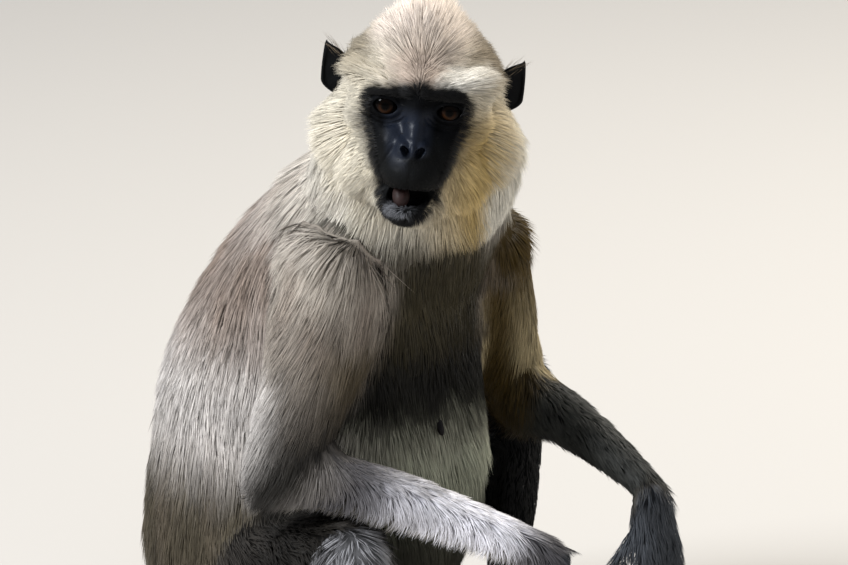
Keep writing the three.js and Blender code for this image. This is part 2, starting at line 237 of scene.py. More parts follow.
# Smooth noise: a sum of waves in random directions, about -1 to 1, one value for each point.
def drift(points, size, seed, waves=14):
    own = np.random.default_rng(seed)
    ways = unit(own.normal(size=(waves, 3))) * own.uniform(0.6, 1.6, (waves, 1)) / size
    phases = own.uniform(0, 2 * np.pi, waves)
    return np.sin(2 * np.pi * points @ ways.T + phases).sum(axis=1) / math.sqrt(waves)


# Forms right of the middle stand on both sides of the face, turned the other way on the other side.
def mirrored(forms):
    both = []
    for (x, y, z), half, soft, *turn in forms:
        if x > 0:
            both.append(((-x, y, z), half, soft, *(-t for t in turn)))
        both.append(((x, y, z), half, soft, *turn))
    return both


# Ellipsoids in the head's frame, in millimetres: middle, half sizes, how softly each joins the rest.
faceForms = mirrored([
    ((0, 44, 3), (36, 40, 33), 8),  # skull
    ((0, 25, -2), (34.5, 23, 21), 8),  # orbits
    ((15, 8, 12), (14, 10, 6.5), 7),  # brows
    ((26, 14, 10), (9, 11, 7), 7),
    ((0, 8, 11), (13, 10, 6.5), 7),
    ((31, 19, -1), (4.5, 12, 13), 7),  # outer rims of the orbits
    ((24, 21, -14), (12, 17, 11), 8),  # cheek bones
    ((0, 5.5, -5), (7.5, 11.5, 16), 8),  # bridge of the nose
    ((0, -2, -17), (6, 10, 9), 5),  # nose
    ((5, -7.5, -22.5), (4.6, 7.5, 5.2), 3),  # wings of the nose
    ((0, -9, -23), (2.6, 7.5, 6), 2),  # between the nostrils
    ((14, 9, -26), (12, 16, 15), 8),  # cheeks beside the nose
    ((0, 3, -38), (20, 25, 14), 7),  # muzzle and upper lip
    ((0, 10, -60), (18, 22, 10), 7),  # lower jaw
    ((0, -2.5, -62.5), (13, 13, 8.5), 5),  # chin and lower lip
    ((22, 34, -42), (17, 26, 24), 12),  # jaw muscles
])
lids = {
    "forward": 8.2, "over": (1.6, 1.3, 0.4), "soft": 6, "edge": 1.6,
    "tilt": 0.07, "reach": 7.6, "upper": 4.5, "lower": 5.0, "corner": 7.4, "depth": 6,
}
lidSize = tuple(eyeRadius + over for over in lids["over"])
faceForms += mirrored([((eyeApart / 2, lids["forward"], 0), lidSize, lids["soft"])])

# Hollows: middle, half sizes, softness of the edge, turn about the way the face looks.
hollows = mirrored([
    ((-0.5, -20, -52.7), (16.5, 19, 6.9), 2.5, 0),  # mouth
    ((-0.5, -2, -55.5), (12.5, 11, 8), 3, 0),
    ((4.2, -15.5, -23.4), (2.3, 7.5, 3.3), 1.2, 30),  # nostrils
    ((5.9, -14.5, -21.6), (1.5, 6, 1.8), 1.2, -40),
])


# Roughly how far outside an ellipsoid each point lies.
def ellipsoidGap(points, centre, half, turn=0):
    p = points - np.array(centre)
    if turn:
        c, s = math.cos(math.radians(turn)), math.sin(math.radians(turn))
        p = np.stack([p[:, 0] * c - p[:, 2] * s, p[:, 1], p[:, 0] * s + p[:, 2] * c], axis=1)
    q = p / np.array(half)
    near = np.linalg.norm(q, axis=1)
    steep = np.linalg.norm(q / np.array(half), axis=1)
    return near * (near - 1) / np.maximum(steep, 1e-9)


# The lesser of two values, rounded off where they are within k of each other.
def softLeast(a, b, k):
    h = np.maximum(k - np.abs(a - b), 0) / k
    return np.minimum(a, b) - h * h * k / 4


# The opening between the lids: below nought inside it. Its inner corner lies lower than its outer one.
def lidGap(p, side):
    x = side * p[:, 0] - eyeApart / 2
    z = p[:, 2] - lids["tilt"] * x
    arch = (1 - np.clip(np.abs(x) / lids["reach"], 0, 1) ** 2.3) ** 0.75
    return np.maximum.reduce([z - lids["upper"] * arch, -z - lids["lower"] * arch,
                              np.abs(x) - lids["corner"], p[:, 1] - lids["depth"]])


# Folds round each eye: depth, distance from its middle and width, in millimetres, above or below it.
eyeFolds = [
    (0.8, 11.0, 1.0, "below"),
    (0.7, 14.6, 1.3, "below"),
    (0.9, 9.6, 0.9, "above"),
]


# Lines in the skin of the face: folds round the eyes and on the muzzle, in millimetres of depth.
def faceFolds(p):
    folds = np.zeros(len(p))
    front = ramp(-p[:, 1], -14, -6)
    for side in (-1, 1):
        x, z = p[:, 0] - side * eyeApart / 2, p[:, 2]
        far = np.hypot(x, z * 1.2)
        beside = {"above": ramp(z, 1, 6), "below": ramp(-z, -1, 6)}
        for depth, radius, width, where in eyeFolds:
            folds -= depth * front * beside[where] * np.exp(-(((far - radius) / width) ** 2))
        crease = np.abs(p[:, 0] * side - (11.5 + 0.5 * (-22 - p[:, 2])))
        folds -= 0.7 * np.exp(-((crease / 1.5) ** 2)) * ramp(-p[:, 2], 20, 26) * ramp(p[:, 2], -46, -34)
    lip = ramp(-p[:, 2], 31, 35) * ramp(p[:, 2], -47, -42) * ramp(-p[:, 1], 6, 14)
    folds -= 0.4 * lip * np.exp(-((p[:, 0] / 1.4) ** 2))
    folds += 0.12 * drift(p, 11, 3) * ramp(-p[:, 1], -30, -10)
    return folds


# The face's net in millimetres: coarse while it is cut, fine at the end, and flat at the back.
faceNet = {"coarse": 1.5, "fine": 0.8, "back": 46}
eyeHoles = mirrored([((eyeApart / 2, -3.5, 0), (7.2, 8, 4.9), 0, 0)])  # the lids then shape their edges


# How far outside the face's forms each point lies, before it is hollowed and after.
def solidGap(p):
    gap = np.full(len(p), 1e3)
    for centre, half, soft in faceForms:
        gap = softLeast(gap, ellipsoidGap(p, centre, half), soft)
    return np.maximum(gap, p[:, 1] - faceNet["back"])


def faceGap(p):
    gap = solidGap(p) - faceFolds(p)
    for centre, half, soft, turn in hollows:
        gap = -softLeast(-gap, ellipsoidGap(p, centre, half, turn), soft)
    for side in (-1, 1):
        gap = -softLeast(-gap, lidGap(p, side), lids["edge"])
    return gap


# Half the width of the bare black face at heights in the head's frame, both in millimetres.
bareFace = {
    -72: 0, -69: 6, -63: 12.5, -55: 16, -45: 18.2, -35: 20.5,
    -22: 23, -10: 27.5, 0: 29, 8: 28, 13: 23, 16: 9,
}


# How far outside the bare face a place on the head is, in millimetres: below nought on the face.
def faceEdge(q):
    chin = ramp(-q[:, 2], 50, 62)
    half = np.interp(q[:, 2], list(bareFace), list(bareFace.values()))
    wide = np.abs(q[:, 0] + 0.6 + 2 * chin) - half + 2 * chin
    brow = q[:, 2] - 12.6 - 0.05 * q[:, 0]
    return np.maximum.reduce([wide, brow, -70 - q[:, 2], q[:, 1] - 32])


def movePoints(data, points):
    data.vertices.foreach_set("co", np.ascontiguousarray(points).ravel())
    data.update()


# Each value moves towards the mean of its neighbours along the mesh, by its own share.
def spread(values, edges, rounds, share=0.5):
    values = np.array(values, float)
    flat = values.reshape(len(values), -1)
    count = np.bincount(edges.ravel(), minlength=len(values))[:, None]
    share = np.broadcast_to(np.reshape(share, (-1, 1)), (len(values), 1))
    for _ in range(rounds):
        total = np.empty_like(flat)
        for k in range(flat.shape[1]):
            total[:, k] = np.bincount(edges[:, 0], flat[edges[:, 1], k], len(values))
            total[:, k] += np.bincount(edges[:, 1], flat[edges[:, 0], k], len(values))
        flat = flat + share * (total / np.maximum(count, 1) - flat)
    return flat.reshape(values.shape)


def applied(made):
    graph = bpy.context.evaluated_depsgraph_get()
    data = bpy.data.meshes.new_from_object(made.evaluated_get(graph))
    made.modifiers.clear()
    old = made.data
    made.data = data
    bpy.data.meshes.remove(old)
    return made


def remeshed(made, voxel):
    remesh = made.modifiers.new("remesh", "REMESH")
    remesh.mode = "VOXEL"
    remesh.voxel_size = voxel
    return applied(made)


def combined(made, other, operation):
    cut = made.modifiers.new("combine", "BOOLEAN")
    cut.operation = operation
    cut.solver = "MANIFOLD"
    cut.object = other
    applied(made)
    bpy.data.objects.remove(other)


def addEllipsoid(shape, centre, half, turn=0):
    ball = bmesh.ops.create_icosphere(shape, subdivisions=4, radius=1)["verts"]
    bmesh.ops.scale(shape, verts=ball, vec=half)
    bmesh.ops.rotate(shape, verts=ball, matrix=Matrix.Rotation(math.radians(turn), 3, "Y"))
    bmesh.ops.translate(shape, verts=ball, vec=centre)


# Moves a mesh's points onto the place where a form's gap is nought, evening them out on the way.
def settle(data, gapOf, rounds, evening):
    points, edges = meshPoints(data), meshEdges(data)
    step = np.eye(3) * 0.05
    for _ in range(rounds):
        points = spread(points, edges, 1, evening)
        for _ in range(2):
            slope = np.stack([gapOf(points + s) - gapOf(points - s) for s in step], axis=1) / 0.1
            steep = np.maximum((slope**2).sum(axis=1), 0.2)
            points = points - slope * np.clip(gapOf(points) / steep, -1.2, 1.2)[:, None]
    movePoints(data, points)


def makeFace():
    forms = bmesh.new()
    for centre, half, _ in faceForms:
        addEllipsoid(forms, centre, half)
    made = remeshed(makeObject("face", forms), faceNet["coarse"])
    settle(made.data, solidGap, 4, 0.5)
    for centre, half, _, turn in hollows + eyeHoles:
        cutter = bmesh.new()
        addEllipsoid(cutter, centre, half, turn)
        combined(made, makeObject("hollow", cutter), "DIFFERENCE")
    remeshed(made, faceNet["fine"])
    settle(made.data, faceGap, 5, 0.35)
    made.data.transform(headToWorld)
    print("face form", len(made.data.polygons))
    return made


# An ear in the head's frame, in millimetres; the levels run from 0 at its tip to 1 at its foot.
ear = {
    "out": 61.8, "back": 63, "top": 18.8, "height": 36, "width": 18.5, "halfThick": 1.5, "rim": 1.1,
    "taperFrom": 0.45, "cutFrom": 0.72, "cut": 10.5, "bow": 0.9, "slant": 7, "cup": 0.02,
}


# The outer edge is nearly straight, and the inner one slants away from the tip.
def makeEar(side):
    shape = bmesh.new()
    bmesh.ops.create_uvsphere(shape, u_segments=64, v_segments=36, radius=1)
    bmesh.ops.rotate(shape, verts=shape.verts, matrix=Matrix.Rotation(math.pi / 2, 3, "X"))
    for vert in shape.verts:
        p = vert.co.copy()
        level = (1 - p.z) / 2
        across = p.x / max(math.sqrt(max(1 - p.z**2, 0)), 1e-3)
        taper = 1 - max(0.0, (level - ear["taperFrom"]) / (1 - ear["taperFrom"])) ** 3
        wide = ear["width"] / 2 * (1 - math.exp(-ear["slant"] * level)) * math.sqrt(max(taper, 0))
        cut = ear["cut"] * max(0.0, (level - ear["cutFrom"]) / (1 - ear["cutFrom"])) ** 2
        edge = ear["bow"] * math.sin(math.pi * level) - cut
        far = math.hypot(p.x, p.z)
        front = 1 if p.y < 0 else 0.4
        rim = ear["rim"] * math.exp(-(((far - 0.9) / 0.13) ** 2))
        folds = 0.5 * math.sin(p.z * 9 + p.x * 3) * max(0.0, 0.75 - far)
        cup = ear["cup"] * (across * wide) ** 2 - 3 * across + 3 * max(0.0, p.z) ** 2
        vert.co = (
            side * (ear["out"] + edge - 1.2 * math.exp(-level / 0.03) - wide * (1 - across)),
            ear["back"] + p.y * ear["halfThick"] - front * (rim + folds) - cup,
            ear["top"] - level * ear["height"],
        )
    bmesh.ops.transform(shape, matrix=headToWorld, verts=shape.verts)
    bmesh.ops.recalc_face_normals(shape, faces=shape.faces)
    return shape


trunkNodes = ["abdomen", "chest"]
tailNodes = ["tail_root", "tail_middle", "tail_end", "tail_tip"]
limbNodes = [f"{part}_{side}" for side in sides
             for part in ("upper_arm", "forearm", "hand", "thigh", "shank", "foot")]
bodyNodes = trunkNodes + ["neck", "head"] + tailNodes + limbNodes
fleshNodes = bodyNodes + ["ear_right", "ear_left"]

# How far the skin lies inside the coat's outline, in millimetres, and how much its form is smoothed.
coatDepth = {
    "abdomen": 5, "chest": 5.5, "neck": 9, "head": 8, "ear": 0,
    "upper_arm": 5.5, "forearm": 7.0, "hand": 1.0, "thigh": 6, "shank": 4, "foot": 0.8, "tail": 3.5,
}
evening = {"hand": 0.05, "foot": 0.08, "tail": 0.35, "shank": 0.6, "forearm": 0.7}
# The rest of the skin's form in millimetres: the net, the swelling that joins the solids, the gap over
# the floor, and the share of the net that stays away from the fingers and toes.
skinForm = {"net": 2.4, "swell": 0.7, "floorGap": 0.6, "fewer": 0.36}


def kindOf(node):
    return next(k for k in coatDepth if node.startswith(k))


# Each point's own value from a table by kind of part, and its summed share of some kinds.
def byKind(shares, nodes, table):
    return shares @ np.array([table.get(kindOf(n), 1.0) for n in nodes])


def kindShare(shares, nodes, kinds):
    return shares[:, [n for n, node in enumerate(nodes) if kindOf(node) in kinds]].sum(axis=1)


def mergedNode(node):
    shape = bmesh.new()
    shape.from_mesh(nodeMesh(node))
    bmesh.ops.remove_doubles(shape, verts=shape.verts, dist=1e-6)
    return shape


def joinNodes(name, nodes):
    whole = bmesh.new()
    for node in nodes:
        part = mergedNode(node)
        part.normal_update()
        for vert in part.verts:
            vert.co += vert.normal * skinForm["swell"] * mm
        data = bpy.data.meshes.new("part")
        part.to_mesh(data)
        part.free()
        whole.from_mesh(data)
        bpy.data.meshes.remove(data)
    return makeObject(name, whole)


# Places scattered over triangles by weight: which triangle, and the shares of its three corners.
def scatter(draws, weights, count):
    pick = draws.choice(len(weights), count, p=weights / weights.sum())
    u, v = draws.uniform(size=(2, count))
    u, v = np.where(u + v > 1, 1 - u, u), np.where(u + v > 1, 1 - v, v)
    return pick, np.stack([1 - u - v, u, v], axis=1)


def triangleAreas(a, b, c):
    return np.linalg.norm(np.cross(b - a, c - a), axis=1)


# Points scattered over a node's surface, for telling which node a place on the skin belongs to.
def scattered(node, count=2500):
    corners = nodePoints(node)[meshTriangles(nodeMesh(node))]
    a, b, c = corners[:, 0], corners[:, 1], corners[:, 2]
    pick, parts = scatter(np.random.default_rng(len(node)), triangleAreas(a, b, c), count)
    return a[pick] + (b - a)[pick] * parts[:, 1:2] + (c - a)[pick] * parts[:, 2:]


def nodeShares(points, edges, nodes, rounds):
    clouds = [scattered(node) for node in nodes]
    labels = np.repeat(np.arange(len(nodes)), [len(c) for c in clouds])
    tree = KDTree(len(labels))
    for i, point in enumerate(np.concatenate(clouds)):
        tree.insert(point, i)
    tree.balance()
    shares = np.zeros((len(points), len(nodes)))
    for i, point in enumerate(points):
        shares[i, labels[tree.find(point)[1]]] = 1
    return spread(shares, edges, rounds)


# Fewer faces, apart from the hands and feet.
def thin(made, nodes, shares):
    group = made.vertex_groups.new(name="coarse")
    coarse = np.nonzero(kindShare(shares, nodes, ("hand", "foot")) < 0.3)[0]
    group.add(coarse.tolist(), 1.0, "REPLACE")
    fewer = made.modifiers.new("fewer", "DECIMATE")
    fewer.ratio = skinForm["fewer"]
    fewer.vertex_group = "coarse"
    applied(made)


# How much flesh, in millimetres, lies straight behind each point of a mesh.
def thickness(data):
    points, normals = meshPoints(data), meshNormals(data)
    faces = readRows(data.polygons, "vertices", 4, int)
    tree = BVHTree.FromPolygons(points.tolist(), faces.tolist())
    found = np.full(len(points), 1e3)
    for i, (start, way) in enumerate(zip((points - normals * 0.2 * mm).tolist(), (-normals).tolist())):
        far = tree.ray_cast(start, way, 0.1)[3]
        if far is not None:
            found[i] = far / mm
    return found


# Some nodes run together into one form, smoothed and drawn in by the depth of the coat.
def makeForm(name, nodes, deeper):
    made = remeshed(joinNodes(name, nodes), skinForm["net"] * mm)
    points, edges = meshPoints(made.data), meshEdges(made.data)
    shares = nodeShares(points, edges, nodes, 6)
    soft = byKind(shares, nodes, evening)
    head = spread(kindShare(shares, nodes, ("head", "neck")), edges, 4)
    points = spread(points, edges, 30, 0.5 * soft)
    points = spread(points, edges, 24, 0.5 * head)
    trunk = kindShare(shares, nodes, ("head", "neck", "chest", "upper_arm"))
    mixed = spread(2 * (1 - shares.max(axis=1)) * trunk, edges, 6)
    points = spread(points, edges, 90, 0.5 * np.clip(mixed, 0, 1))  # no crease where they meet
    movePoints(made.data, points)
    besideFace = head * ramp(-faceEdge(toHead(points)), -22, -4)
    depths = byKind(shares, nodes, coatDepth) + skinForm["swell"] + 5 * besideFace
    for node, more in deeper.items():
        depths += more * shares[:, nodes.index(node)]
    depths = spread(np.minimum(depths, 0.33 * thickness(made.data)), edges, 14)
    for _ in range(4):
        points = points - meshNormals(made.data) * depths[:, None] * mm / 4
        points = spread(points, edges, 4, 0.5 * soft)
        movePoints(made.data, points)
    points[:, 2] = np.maximum(points[:, 2], skinForm["floorGap"] * mm)
    movePoints(made.data, points)
    thin(made, nodes, shares)
    print(name, len(made.data.polygons))
    return made


# Where one node meets the next: the middle of the part of its surface nearest to it.
def jointOf(node, after):
    points = nodePoints(node)
    near = np.argsort(np.linalg.norm(points - np.array(middle(after)), axis=1))
    return points[near[: len(points) // 20]].mean(axis=0)


# The right forearm crosses the knee, so it is a form of its own that joins the rest at the elbow.
def makeBody():
    freeArm = ["upper_arm_right", "forearm_right", "hand_right"]
    others = [node for node in bodyNodes if node not in freeArm[1:]]
    made = makeForm("body", others, {"upper_arm_left": 4, "thigh_left": 4, "shank_left": 2})
    combined(made, makeForm("arm", freeArm, {"upper_arm_right": 2}), "UNION")
    points, edges = meshPoints(made.data), meshEdges(made.data)
    far = np.linalg.norm(points - jointOf("upper_arm_right", "forearm_right"), axis=1) / mm
    movePoints(made.data, spread(points, edges, 16, 0.5 * ramp(-far, -52, -34)))
    return made


def makeSkin():
    made = makeBody()
    room = bmesh.new()
    addEllipsoid(room, (0, -12, -44), (26, 40, 24))
    bmesh.ops.transform(room, matrix=headToWorld, verts=room.verts)
    combined(made, makeObject("room", room), "DIFFERENCE")
    combined(made, makeFace(), "UNION")
    for side in (-1, 1):
        combined(made, makeObject("earForm", makeEar(side)), "UNION")
    made.name = made.data.name = "skin"
    made.data.materials.clear()
    made.data.shade_smooth()
    print("skin", len(meshTriangles(made.data)), "triangles")
    return made


skin = makeSkin()
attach(skin, "root")
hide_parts(*fleshNodes)


# The way a limb's solid runs, towards the next one.
def bone(node, towards):
    points = nodePoints(node)
    axis = np.linalg.svd(points - points.mean(axis=0), full_matrices=False)[2][0]
    return axis * np.sign(axis @ (np.array(middle(towards)) - points.mean(axis=0)))


def tailFlow(points, steps=30):
    cloud = np.concatenate([nodePoints(n) for n in tailNodes])
    slot = np.digitize(cloud[:, 1], np.linspace(cloud[:, 1].min(), cloud[:, 1].max(), steps)) - 1
    path = np.array([cloud[slot == k].mean(axis=0) for k in range(steps) if (slot == k).any()])
    ways = unit(np.gradient(path, axis=0))
    return np.stack([np.interp(points[:, 1], path[:, 1], ways[:, k]) for k in range(3)], axis=1)


def headFlow(q):
    x, y, z = q.T
    source = np.clip(z, -22, 20)  # a line up the middle of the face, from the nose to the whorl
    out = np.stack([x, 0 * x, z - source], axis=1)
    out /= np.maximum(np.linalg.norm(out, axis=1, keepdims=True), 4)
    low = ramp(-z, -15, 35)
    behind = ramp(y, 55, 85)
    temple = ramp(np.abs(x), 12, 32) * ramp(z, -12, 4) * ramp(-z, -44, -26)
    out[:, 1] += 0.45 + 0.4 * behind + 0.35 * temple
    out[:, 2] += -0.55 * low - 1.3 * behind - 0.4 * temple
    return wayToWorld(out)


def horizontal(vector):
    return unit(np.array([[vector[0], vector[1], 0.0]]))[0]


# The way the animal's front faces, level with the ground: from the seat to the shins.
ahead = horizontal((middle("shank_right") + middle("shank_left")) / 2 - middle("abdomen"))
down = np.array([0, 0, -1.0])
leftward = np.cross(ahead, down)


# The middle of the highest part of a node.
def topOf(node, share=0.06):
    points = nodePoints(node)
    high = points[:, 2] > np.quantile(points[:, 2], 1 - share)
    return points[high].mean(axis=0)


kneeRise = 26  # millimetres from the shank's top to the middle of the hair's whorl on the knee
kneeTop = topOf("shank_right") - down * kneeRise * mm
kneeAhead = horizontal(kneeTop - np.array(middle("thigh_right")))


def neckFlow(q):
    out = np.stack([0.5 * np.tanh(q[:, 0] / 30), 0.25 + 0 * q[:, 0], -1 + 0 * q[:, 0]], axis=1)
    return wayToWorld(out)


# The lie of the coat: what each point of the skin says about the hair that grows there.
def readSkin():
    lie = SimpleNamespace()
    lie.points, lie.normals, lie.edges = meshPoints(skin.data), meshNormals(skin.data), meshEdges(skin.data)
    lie.local = toHead(lie.points)
    lie.shares = nodeShares(lie.points, lie.edges, fleshNodes, 4)
    lie.edge = np.where(headShare(lie) > 0.4, faceEdge(lie.local), 60)
    far = np.linalg.norm(lie.points - kneeTop, axis=1) / mm
    behind = (kneeTop - lie.points) @ kneeAhead / mm
    lie.knee = ramp(-far, -70, -52) * ramp(-behind, -32, -16) * shareOf(lie, "thigh", "shank")
    lie.fromShoulder = np.linalg.norm(lie.points - topOf("upper_arm_left"), axis=1) / mm
    lie.nearRuff = spread(shareOf(lie, "head", "neck"), lie.edges, 220)
    return lie


def shareOf(lie, *kinds):
    return kindShare(lie.shares, fleshNodes, kinds)


def onlySide(lie, side):
    return lie.shares[:, [n for n, node in enumerate(fleshNodes) if node.endswith(side)]].sum(axis=1)


def headShare(lie):
    return shareOf(lie, "head")


# The way the hair runs over one node, before it is laid flat on the skin.
def wayOver(lie, node):
    kind, side = kindOf(node), node.split("_")[-1]
    if kind in ("abdomen", "chest"):
        spine = unit(np.array(middle("abdomen") - middle("chest"))[None])[0]
        return spine + down + 0.45 * leftward * ramp(lie.normals @ ahead, 0, 0.6)[:, None]
    if kind == "neck":
        return unit(neckFlow(lie.local))
    if kind == "head":
        return unit(headFlow(lie.local))
    if kind == "ear":
        return unit(lie.points - np.array(middle(node)))
    if kind == "tail":
        return tailFlow(lie.points)
    if kind in ("hand", "foot"):
        before = {"hand": "forearm", "foot": "shank"}[kind]
        return unit(-bone(node, f"{before}_{side}")[None])[0]
    after = {"upper_arm": "forearm", "forearm": "hand", "thigh": "shank", "shank": "foot"}[kind]
    way = unit(bone(node, f"{after}_{side}")[None])[0]
    if node == "forearm_right":
        return way * np.clip(1.7 * lie.normals[:, 2:] - 0.35, -1.1, 1.0) + 0.9 * down
    if kind == "upper_arm":
        return way - 0.4 * ahead + 0.3 * down
    return way + {"forearm": 0.5, "thigh": 0.6, "shank": 0.0}[kind] * down


def setFlow(lie):
    flow = np.zeros_like(lie.points)
    for n, node in enumerate(fleshNodes):
        flow += lie.shares[:, n : n + 1] * wayOver(lie, node)
    knee = lie.knee[:, None]
    flow = flow * (1 - knee) + knee * (unit(lie.points - kneeTop) + 0.8 * down)
    for _ in range(3):
        flow -= lie.normals * (flow * lie.normals).sum(axis=1, keepdims=True)
        flow = spread(unit(flow), lie.edges, 4)
    flow -= lie.normals * (flow * lie.normals).sum(axis=1, keepdims=True)
    lie.flow = unit(flow)


# Hair length, how far its tips stand off the skin, and its width, in millimetres, and how thickly it grows.
hair = {
    "abdomen": (34, 4.4, 0.8, 1.0), "chest": (32, 5.0, 0.8, 1.0), "neck": (30, 7.0, 0.75, 1.4),
    "head": (26, 12, 0.7, 2.2), "ear": (5, 2.0, 0.4, 0.3), "upper_arm": (30, 4.6, 0.75, 1.4),
    "forearm": (18, 3.4, 0.75, 1.9), "hand": (7, 1.0, 0.5, 1.7), "thigh": (26, 4.6, 0.85, 0.9),
    "shank": (15, 4.0, 0.75, 1.3), "foot": (6, 0.9, 0.55, 1.0), "tail": (16, 3.4, 0.75, 1.1),
}


def fromWrist(lie, side):
    wrist = jointOf(f"forearm_{side}", f"hand_{side}")
    return np.linalg.norm(lie.points - wrist, axis=1) / mm


def setHair(lie):
    values = lie.shares @ np.array([hair[kindOf(n)] for n in fleshNodes])
    head = headShare(lie)
    grown = ramp(lie.edge, -1, 22)
    x, z = np.abs(lie.local[:, 0]), lie.local[:, 2]
    crown = ramp(z, 20, 34)
    beside = ramp(x, 24, 36) * ramp(z, -26, -10) * ramp(-z, -22, -8)
    lie.length = (values[:, 0] * (1 - head) + head * (7 + 20 * grown) * (1 - 0.2 * crown)) * mm
    lie.height = (values[:, 1] * (1 - head) + head * (2.0 + 6.0 * grown + 3.5 * beside)) * mm
    lie.width = (values[:, 2] * (1 - head) + head * (0.42 + 0.3 * grown)) * mm
    flat = ramp(-lie.fromShoulder, -85, -40)
    lie.height *= 1 - 0.75 * flat * (1 - head)
    lie.length *= 1 - 0.25 * flat * (1 - head)
    hand, legLeft = shareOf(lie, "hand"), onlySide(lie, "left") * shareOf(lie, "thigh", "shank")
    fingers = sum(onlySide(lie, side) * hand * ramp(fromWrist(lie, side), 40, 70) for side in sides)
    shaggy = onlySide(lie, "left") * hand * ramp(-fromWrist(lie, "left"), -58, -30)
    lie.length *= (1 - 0.4 * lie.knee) * (1 - 0.4 * legLeft) * (1 - 0.5 * fingers)
    lie.height *= (1 - 0.6 * lie.knee) * (1 - 0.5 * legLeft) * (1 - 0.5 * fingers)
    lie.length += 9 * mm * shaggy
    lie.height += 2.6 * mm * shaggy
    bare = ramp(-lie.edge, -0.5, 3.5)
    whorl = ramp(-np.hypot(lie.local[:, 0], z - 22), -26, -8)
    ruffEdge = 4 * lie.nearRuff * (1 - lie.nearRuff) * (1 - head)
    lie.length *= 1 + 0.25 * ruffEdge * shareOf(lie, "neck")
    lie.height *= 1 - 0.35 * ruffEdge
    thick = 1 + 0.9 * head * (1 - grown) + 0.6 * head * whorl + 1.3 * ruffEdge
    lie.growth = values[:, 3] * (1 - bare) * thick


# A colour from its everyday values of 0 to 255.
def tone(red, green, blue):
    parts = np.array([red, green, blue]) / 255
    return np.where(parts < 0.04045, parts / 12.92, ((parts + 0.055) / 1.055) ** 2.4)


# The coat's colours by part of the body: at the root and at the tip. The darker roots are partly the hair's
# own colour and partly painted shade low in the coat.
coatTones = {
    "abdomen": ((66, 60, 49), (88, 81, 67)),
    "chest": ((139, 128, 121), (182, 172, 165)),
    "neck": ((218, 211, 197), (243, 240, 229)),
    "head": ((188, 178, 156), (211, 204, 188)),
    "ear": ((10, 10, 12), (30, 30, 34)),
    "upper_arm": ((95, 87, 80), (156, 147, 137)),
    "forearm": ((26, 25, 27), (96, 94, 97)),
    "hand": ((22, 23, 26), (80, 84, 90)),
    "thigh": ((58, 52, 44), (94, 87, 76)),
    "shank": ((12, 12, 12), (34, 33, 32)),
    "foot": ((12, 12, 13), (36, 35, 36)),
    "tail": ((120, 112, 104), (174, 166, 156)),
}
# What changes them: a name for the place, then the colours at the root and the tip.
markings = {
    "ruffEdge": ((152, 144, 133), (192, 184, 173)),
    "chestFrontShade": ((26, 23, 16), (65, 59, 42)),
    "breastShade": ((6, 6, 5), (19, 18, 14)),
    "bellyLow": ((74, 76, 62), (104, 106, 90)),
    "belly": ((128, 131, 113), (160, 163, 145)),
    "leftSideShade": ((35, 27, 8), (77, 61, 24)),
    "capeEdge": ((120, 108, 80), (196, 180, 142)),
    "armInner": ((56, 49, 37), (96, 86, 68)),
    "elbow": ((14, 13, 12), (48, 46, 43)),
    "wrist": ((160, 158, 168), (250, 249, 255)),
    "forearmLeft": ((17, 17, 18), (66, 67, 64)),
    "underArm": ((52, 49, 41), (134, 128, 112)),
    "knee": ((52, 52, 53), (170, 170, 174)),
    "kneeFront": ((14, 13, 12), (44, 40, 36)),
    "crown": ((188, 174, 161), (218, 205, 193)),
    "temple": ((126, 116, 96), (152, 142, 124)),
    "templeShade": ((96, 86, 70), (124, 113, 95)),
    "whorl": ((140, 124, 112), (186, 170, 156)),
    "browSunlight": ((198, 190, 177), (230, 227, 219)),
    "shadedCheek": ((126, 103, 56), (200, 173, 112)),
    "throatShade": ((26, 23, 16), (60, 54, 38)),
    "lapShade": ((8, 7, 5), (26, 23, 19)),
    "legLeft": ((3, 3, 3), (8, 8, 8)),
    "silver": ((186, 180, 174), (208, 203, 199)),
    "streakAndShade": ((92, 78, 68), (138, 122, 110)),
    "fringe": ((8, 8, 9), (18, 18, 19)),
}


# A colour for each point, moved towards another by that point's amount.
def blendTo(base, colour, amount):
    return base + (np.array(colour) - base) * np.reshape(amount, (-1, 1))


def mark(lie, name, amount):
    root, tip = markings[name]
    lie.roots, lie.tips = blendTo(lie.roots, tone(*root), amount), blendTo(lie.tips, tone(*tip), amount)


# How far along a limb's bone each point lies: -1 at its start, 1 at its end.
def alongBone(lie, node, towards):
    axis = bone(node, towards)
    reach = (nodePoints(node) - np.array(middle(node))) @ axis
    return ((lie.points - np.array(middle(node))) @ axis - reach.mean()) / (reach.max() - reach.min()) * 2


